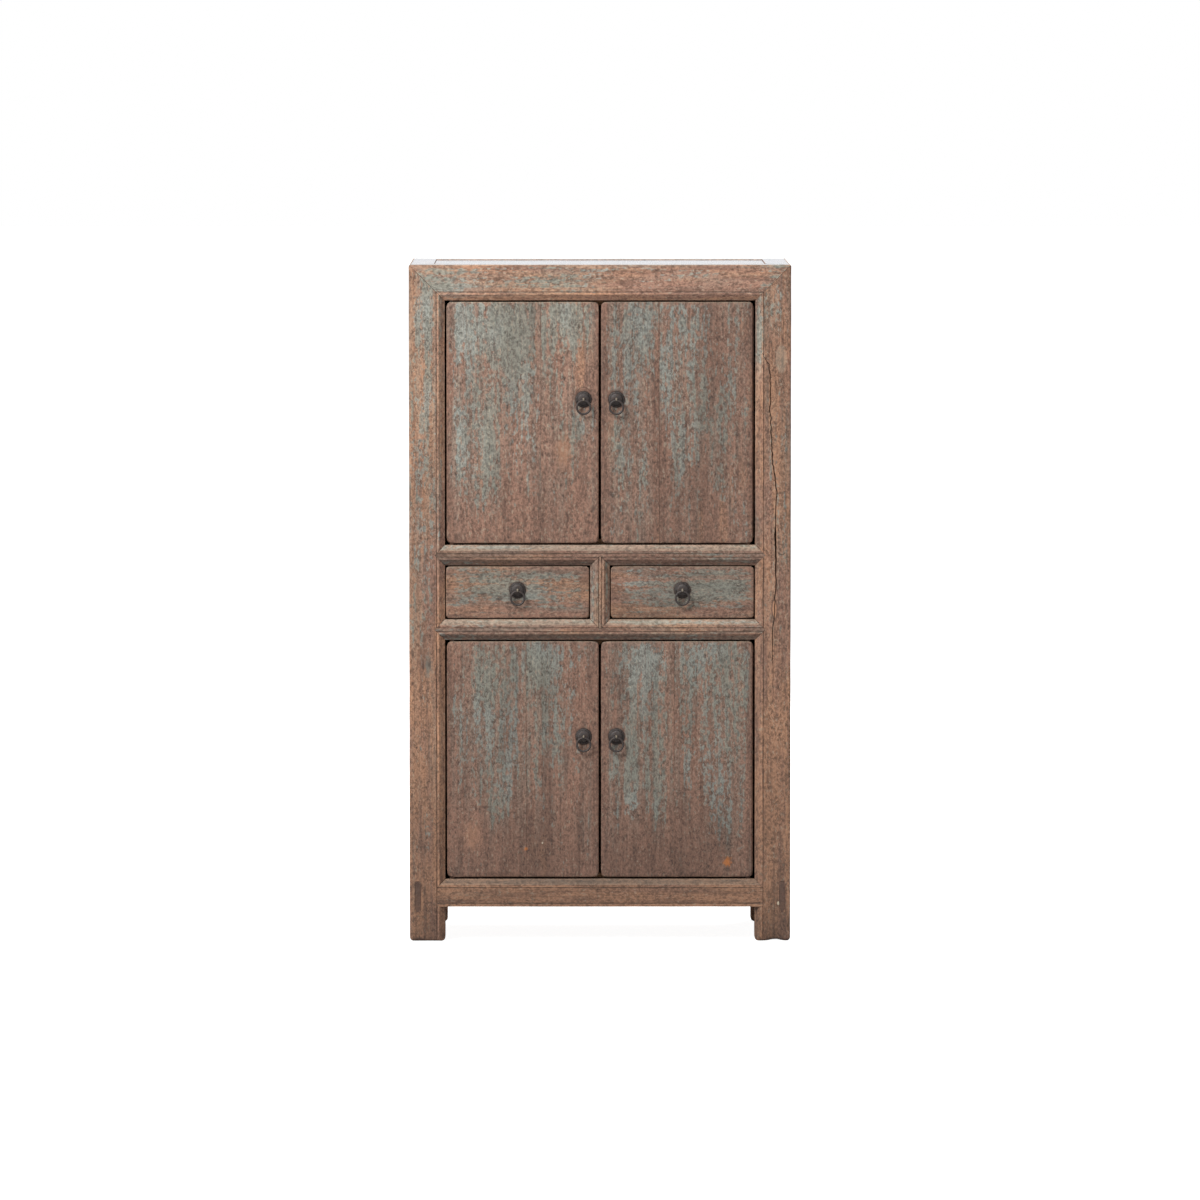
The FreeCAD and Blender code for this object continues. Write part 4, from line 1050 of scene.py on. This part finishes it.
WHITE = (1.0, 1.0, 1.0, 1.0)
GREY = (0.5, 0.5, 0.5, 1.0)
FLOOR_REACH = 60.0
LAMP_SIZE = 3.0
KEY_PLACE = (-4.4, -4.8, 6.2)
FILL_PLACE = (3.6, 5.2, 4.6)
FARTHEST_SEEN = 200.0


def aimed(name, data, place, target):
    """An object that looks from its place at a target, as cameras and lamps do."""
    made = new_object(name, data)
    made.location = place
    made.rotation_euler = (target - made.location).to_track_quat("-Z", "Y").to_euler()
    return made


class SetStage(bpy.types.Operator):
    """Pale floor, soft light from upper left, a weaker one from behind, and the camera"""

    bl_idname = "kang_cabinet.set_stage"
    bl_label = "Stage"

    def execute(self, context):
        studio = context.scene.cabinet_studio
        self.lay_floor(studio)
        self.surround(context.scene, studio)
        self.hang_lamp("key", studio.key_power, KEY_PLACE)
        self.hang_lamp("fill", studio.fill_power, FILL_PLACE).visible_glossy = False
        self.set_camera(context.scene, studio)
        return {"FINISHED"}

    def lay_floor(self, studio):
        mesh = bpy.data.meshes.new("studio_floor")
        sides = ((-1, -1), (1, -1), (1, 1), (-1, 1))
        mesh.from_pydata([(x * FLOOR_REACH, y * FLOOR_REACH, 0) for x, y in sides], [], [(0, 1, 2, 3)])
        material, t, coordinates, colours = new_material("studio_floor")
        stain = t.step(t.noise(coordinates["Object"], (3.0,) * 3, 3), 0.3, 0.7, 0.0, 0.02)
        seen = t.add("ShaderNodeLightPath").outputs["Is Camera Ray"]
        inputs = {"Base Color": t.mix(stain, colours["floor"], GREY), "Roughness": 0.9}
        inputs |= {"Emission Color": WHITE, "Emission Strength": t.times(seen, studio.floor_glow)}
        t.add("ShaderNodeOutputMaterial", {"Surface": t.first("ShaderNodeBsdfPrincipled", inputs)})
        mesh.materials.append(material)
        floor = new_object("studio_floor", mesh)
        floor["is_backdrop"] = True

    def surround(self, scene, studio):
        """Even light from all round: soft where it lights a surface, bright where it's seen."""
        scene.world = bpy.data.worlds.new("studio")
        scene.world.use_nodes = True
        scene.world.node_tree.nodes.clear()
        t = Tree(scene.world.node_tree)
        bright = t.first("ShaderNodeBackground", {"Color": WHITE, "Strength": 1.0})
        soft = t.first("ShaderNodeBackground", {"Color": WHITE, "Strength": studio.ambient})
        lit = t.add("ShaderNodeLightPath").outputs["Is Diffuse Ray"]
        both = t.first("ShaderNodeMixShader", {0: lit, 1: bright, 2: soft})
        t.add("ShaderNodeOutputWorld", {"Surface": both})

    def hang_lamp(self, name, power, place):
        """A large square light that is aimed at the cabinet's middle."""
        lamp = bpy.data.lights.new(name, "AREA")
        lamp.shape = "SQUARE"
        lamp.size = LAMP_SIZE
        lamp.energy = power
        return aimed(name, lamp, place, (CASE_LOW + CASE_HIGH) / 2)

    def set_camera(self, scene, studio):
        lens = bpy.data.cameras.new("camera")
        lens.sensor_width = 36.0
        lens.lens = lens.sensor_width * studio.distance / studio.view_width
        lens.clip_end = FARTHEST_SEEN
        place = (-studio.aside, CASE_LOW.y - studio.distance, CASE_HIGH.z + studio.rise)
        target = Vector((0.0, CASE_LOW.y, CASE_HIGH.z / 2 + studio.aim_rise))
        scene.camera = aimed("camera", lens, place, target)
        scene.view_settings.view_transform = "Standard"


# what the photograph shows at particular places

CRACKED = "post_front_right"
# points from top to bottom: share of the post's width, share of its height, share of the usual width
CRACK = (
    (0.15, 0.874, 0.2), (0.37, 0.853, 0.7), (0.426, 0.823, 0.9), (0.4125, 0.785, 0.8), (0.4825, 0.711, 1),
    (0.595, 0.666, 0.9), (0.57, 0.615, 0.8), (0.566, 0.6, 1.9), (0.575, 0.592, 1.6), (0.58, 0.518, 0.8),
    (0.4825, 0.454, 0.7), (0.51, 0.3675, 0.2),
)
# the body that cuts the crack is so many times as deep as wide, and half of it lies in the wood
CRACK_DEPTH_SHARE = 5.0
# how far the dark halo round a back plate, grime and painted shadow at the plate's edge, reaches from the
# plate's middle
PLATE_GRIME_AND_SHADOW = 0.0228

# marks by the name of the paint's owner; each lies at its place in the case's own metres
MARKS = {
    "post_left": (
        knot(0.8, "grime", (-0.3825, 0.616), (0.009, 0.024), 0.9, 1),
        knot(0.8, "grime", (-0.4175, 0.577), (0.006, 0.008), 0.8, 0.9),
        knot(0.5, "old", (-0.393, 0.625), (0.026, 0.05), 0.9, 1),
        knot(0.5, "paint", (-0.382, 0.618), (0.012, 0.038), 0.9, 1),
        knot(0.7, "grime", (-0.38, 0.622), (0.008, 0.02), 0.9, 1),
        knot(0.75, "grime", (-0.394, 0.615), (0.003, 0.017), 0.5, 0.6),
        knot(0.75, "grime", (-0.3665, 0.604), (0.0025, 0.012), 0.5, 0.6),
        knot(0.6, "grime", (-0.4175, 0.645), (0.005, 0.009), 0.7, 0.6),
        knot(0.75, "grime", (-0.405, 0.004), (0.017, 0.007), 0.5, 0.6),
    ),
    "post_right": (
        knot(0.25, "dust", (0.402, 1.3), (0.014, 0.036), 0.2, 0.3),
        knot(0.8, "grime", (0.411, 0.302), (0.0025, 0.0025), 0.1, 0.4),
        knot(0.9, "dust", (0.398, 0.085), (0.0035, 0.005), 0.3, 0.4),
        knot(0.8, "grime", (0.383, 0.083), (0.0025, 0.0025), 0.1, 0.4),
        rubbed_arc(0.7, "grime", (0.4045, 0.872), 0.0075, 0.0022, -1),
        knot(0.6, "grime", (0.388, 0.742), (0.0085, 0.029), 0.25, 0.3),
        knot(0.75, "bare", (0.3885, 0.743), (0.0055, 0.022), 0.3, 0.35),
        knot(0.45, "grime", (0.394, 0.795), (0.0022, 0.024), 0.5, 0.6),
    ),
    "top_rail_front": (
        knot(0.5, "old", (0.058, 1.468), (0.028, 0.01), 0.4, 0.6),
        knot(0.5, "clay", (-0.408, 1.499), (0.022, 0.007), 0.4, 0.7),
    ),
    "door_upper_left": (
        knot(0.5, "grime", (-0.132, 1.385), (0.0014, 0.046), 0.3, 0.6),
        knot(0.5, "clay", (-0.274, 1.405), (0.006, 0.028), 0.5, 0.9),
        knot(0.45, "bare", (-0.081, 1.095), (0.026, 0.055), 0.6, 0.9),
    ),
    "door_upper_right": (
        knot(0.75, "grime", (0.0286, 0.9957), (0.008, 0.006), 0.7, 0.7),
        knot(0.5, "grime", (0.3244, 1.0678), (0.015, 0.007), 0.7, 0.8),
        knot(0.5, "grime", (0.281, 1.0596), (0.004, 0.006), 0.7, 0.8),
    ),
    "door_lower_left": (
        knot(0.55, "grime", (-0.254, 0.3), (0.022, 0.0035), 0.5, 0.8),
        knot(0.6, "orange", (-0.1653, 0.206), (0.005, 0.005), 0.6, 0.6),
        knot(0.9, "dust", (-0.1285, 0.2194), (0.0025, 0.003), 0.2, 0.5),
        knot(0.3, "bare", (-0.285, 0.235), (0.03, 0.05), 0.9, 1),
    ),
    "door_lower_right": (
        knot(0.6, "orange", (0.2843, 0.1775), (0.012, 0.014), 1.3, 0.8),
        knot(0.45, "grime", (0.0865, 0.395), (0.012, 0.022), 0.8, 0.9),
    ),
}

# soft ovals of more or less paint and of lighter or darker tone, in the form that mark_patches names;
# the second amount also paints light and shade: darker towards the bottom of the posts, feet and doors,
# darker leaf edges, a lighter upper and a darker lower bevel on the waist rails, and highlights on the beads
# a bead: less paint, rubbed to the wood, and a painted highlight along it
BEAD = (-1, 1.2)
# waist rails: a darker middle band, more paint and painted light on the upper bevel, painted shade on the
# lower bevel
WAIST_RAIL = ((0.5, 0.5, 3, 0.1, 0, -0.3), (0.5, 0.9, 3, 0.1, 1, 0.7), (0.5, 0.16, 3, 0.17, 0.2, -1.1))
# a leaf's edges: less paint, and painted shade along them
LEAF_RIM = (
    (0, 0.5, 0.035, 0.6, -2, -1), (1, 0.5, 0.035, 0.6, -1.8, -1),
    (0.5, 1, 0.6, 0.018, -1, -0.9), (0.5, 0, 0.6, 0.022, -1.2, -1),
)
DRAWER_RIM = (
    (0.03, 0.5, 0.05, 0.6, -1, -0.3), (0.97, 0.5, 0.04, 0.6, -1, -0.3), (0.5, 0.08, 0.6, 0.12, -1.2, 0.2),
)
PATCHES = {
    "post_left": (
        (0.805, 0.5, 0.022, 3, *BEAD), (0.35, 0.93, 0.6, 0.05, 0.5, 0.4), (0.5, 0.8, 0.6, 0.08, 0.3, 0.2),
        (0.5, 0.35, 0.8, 0.12, -0.5, -0.1), (0.5, 0, 0.9, 0.07, -2, -1.6),
        (0.85, 0.45, 0.2, 0.03, -0.4, -0.4), (0.5, 0.55, 0.6, 0.07, 0.3, 0),
        (0.5, 0.17, 0.9, 0.18, -1, -1.3), (0.95, 0.5, 0.07, 2, -1.2, -0.3),
    ),
    "post_right": (
        (0.195, 0.5, 0.022, 3, *BEAD), (0.6, 0.93, 0.6, 0.05, 0.8, 0.3), (0.12, 0.87, 0.12, 0.05, 2.2, 0.8),
        (0.5, 0.2, 0.9, 0.2, -0.8, 0), (0.5, 0, 0.9, 0.07, -2.5, -1.8), (0.7, 0.62, 0.5, 0.12, 0.3, 0),
        (0.5, 0.17, 0.9, 0.18, -0.8, -1.2), (0.05, 0.5, 0.07, 2, -0.2, -0.4),
    ),
    "top_rail_front": (
        (0.08, 0.4, 0.1, 0.6, 1.6, 0), (0.3, 0.3, 0.08, 0.3, 0.8, 0), (0.96, 0.5, 0.03, 0.6, 1.6, -0.4),
        (0.46, 0.35, 0.1, 0.3, 1, 0), (0.75, 0.45, 0.2, 0.4, -0.6, 0), (0.5, 0.06, 2, 0.1, -1.2, 1.1),
        (0.5, 0.195, 3, 0.022, *BEAD),
    ),
    "bottom_rail_front": (
        (0.12, 0.45, 0.1, 0.25, 1.6, 0), (0.6, 0.4, 0.3, 0.5, -0.6, 0), (0.5, 0.74, 3, 0.03, *BEAD),
        (0.5, 0.05, 3, 0.04, *BEAD), (0.5, 0.9, 2, 0.08, 0, -1.2),
    ),
    "door_upper_left": (
        *LEAF_RIM,
        (0.32, 0.86, 0.28, 0.14, 1.6, 0.1), (0.8, 0.88, 0.1, 0.12, 1.3, 0.5),
        (0.92, 0.68, 0.06, 0.14, -1, -0.1), (0.3, 0.55, 0.25, 0.15, 0.5, 0),
        (0.5, 0.06, 0.6, 0.14, -1.8, -0.6), (0.8, 0.3, 0.15, 0.2, -0.9, -0.6),
        (0.85, 0.48, 0.1, 0.06, 0.5, -0.3), (0.4, 0.25, 0.2, 0.1, -0.2, -0.4),
    ),
    "door_upper_right": (
        *LEAF_RIM,
        (0.25, 0.85, 0.15, 0.2, 0.6, 0.1), (0.55, 0.93, 0.3, 0.06, 0.2, 0),
        (0.75, 0.7, 0.06, 0.3, -0.6, 0.1), (0.55, 0.6, 0.12, 0.4, 0.5, 0),
        (0.5, 0.05, 0.6, 0.12, -0.8, -0.45), (0.88, 0.45, 0.06, 0.2, -0.6, 0.1),
        (0.6, 0.25, 0.3, 0.12, 0.2, -0.5),
    ),
    "door_lower_left": (
        *LEAF_RIM,
        (0.25, 0.85, 0.12, 0.18, 1.3, 0.4), (0.62, 0.9, 0.12, 0.1, 1.6, 0.5),
        (0.4, 0.6, 0.1, 0.2, 0.5, -0.6), (0.75, 0.55, 0.1, 0.1, 0.4, -0.3),
        (0.15, 0.2, 0.15, 0.1, -1.4, 0.2), (0.55, 0.15, 0.3, 0.2, -0.3, -0.8),
        (0.5, 0.05, 0.6, 0.16, -1.2, -0.5), (0.85, 0.25, 0.12, 0.2, -1.2, 0),
    ),
    "door_lower_right": (
        *LEAF_RIM,
        (0.3, 0.88, 0.2, 0.12, 1.2, 0.4), (0.6, 0.85, 0.06, 0.15, 1, -0.4),
        (0.85, 0.75, 0.1, 0.2, 0.9, 0.1), (0.4, 0.45, 0.3, 0.2, 0.2, 0), (0.75, 0.25, 0.15, 0.2, 0.2, -0.6),
        (0.45, 0.08, 0.6, 0.2, -2.2, -1.25),
    ),
    "waist_rail_upper": WAIST_RAIL,
    "waist_rail_lower": WAIST_RAIL,
    "drawer_left": (*DRAWER_RIM, (0.5, 0.6, 0.35, 0.25, 0.8, 0.1), (0.3, 0.45, 0.2, 0.12, 0, -0.6)),
    "drawer_right": (*DRAWER_RIM, (0.5, 0.6, 0.35, 0.25, 0.8, 0), (0.1, 0.75, 0.1, 0.2, -0.6, 0.5)),
}

# the paint's cover, warmth and tone
DOOR_LOOKS = {
    "door_upper_left": (-0.02, -0.45, 0.86),
    "door_upper_right": (-0.06, -0.45, 0.705),
    "door_lower_left": (-0.07, -0.5, 0.645),
    "door_lower_right": (-0.06, -0.5, 0.655),
}
DRAWER_LOOKS = {"drawer_left": (-0.05, 0.1, 0.68), "drawer_right": (-0.05, 0.1, 0.66)}


def tenon_mark(hand):
    """Dark end grain where the side rail's tenon comes through the front post."""
    face = foremost(f"bottom_rail_{hand}")
    middle = (face.min(0) + face.max(0)) / 2
    half = (face.max(0) - face.min(0)) / 2
    return knot(0.85, "grime", middle[[0, 2]], (1.5 * half[0], 1.6 * half[2]), 0.2, 0.4)


def marks_on(owner):
    """All the marks of a painted piece, with those that tenons, rings and back plates have left, and the
    painted shadow round each back plate.
    """
    marks = list(MARKS.get(owner, ()))
    if owner == "side_rail":
        marks += [tenon_mark(hand) for hand in HANDS]
    if owner in DOOR_LOOKS or owner in DRAWER_LOOKS:
        low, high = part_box(f"{owner}_backplate")
        x, z = (low.x + high.x) / 2, (low.z + high.z) / 2
        # grime and painted shadow round the back plate's edge
        marks.append(knot(0.8, "grime", (x, z), (PLATE_GRIME_AND_SHADOW, PLATE_GRIME_AND_SHADOW), 0.2, 0.25))
    if owner in DOOR_LOOKS:
        marks.insert(0, rubbed_arc(0.45, "old", (x, z), 0.022, 0.0035))
    if owner in DRAWER_LOOKS:
        marks.insert(0, rubbed_arc(0.5, "grime", (x, z + 0.009), 0.0195, 0.0022))
    if owner == "door_upper_left":
        marks.append(rubbed_arc(0.6, "grime", (x, z + 0.01), 0.0165, 0.0022))
    return marks


GROUPS = {
    "cabinet_wear": CabinetWear,
    "cabinet_colours": CabinetColours,
    "cabinet_pulls": CabinetPulls,
    "cabinet_studio": CabinetStudio,
}
STEPS = (
    DressPosts, DressFrontRails, DressSidesAndBack, DressInside,
    DressDoors, DressDrawers, ForgePulls, SetStage,
)


class CabinetPanel(bpy.types.Panel):
    """Sizes, colours and steps of the cabinet"""

    bl_idname = "VIEW3D_PT_kang_cabinet"
    bl_label = "Painted Kang Cabinet"
    bl_space_type = "VIEW_3D"
    bl_region_type = "UI"
    bl_category = "Cabinet"

    def draw(self, context):
        for group, kind in GROUPS.items():
            box = self.layout.box()
            for name in kind.__annotations__:
                box.prop(getattr(context.scene, group), name)
        for kind in STEPS:
            self.layout.operator(kind.bl_idname)


def register():
    for kind in (*GROUPS.values(), *STEPS, CabinetPanel):
        bpy.utils.register_class(kind)
    for name, kind in GROUPS.items():
        setattr(bpy.types.Scene, name, PointerProperty(type=kind))


def unregister():
    for name in GROUPS:
        delattr(bpy.types.Scene, name)
    for kind in (CabinetPanel, *STEPS, *GROUPS.values()):
        bpy.utils.unregister_class(kind)


def main():
    register()
    bpy.ops.kang_cabinet.dress_posts()
    bpy.ops.kang_cabinet.dress_front_rails()
    bpy.ops.kang_cabinet.dress_sides_and_back()
    bpy.ops.kang_cabinet.dress_inside()
    bpy.ops.kang_cabinet.dress_doors()
    bpy.ops.kang_cabinet.dress_drawers()
    bpy.ops.kang_cabinet.forge_pulls()
    bpy.ops.kang_cabinet.set_stage()
    boxes = {"cad": FRAME_BOUNDS, "visual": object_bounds()}
    {name: [list(corner) for corner in box] for name, box in boxes.items()}


if __name__ == "__main__":
    main()
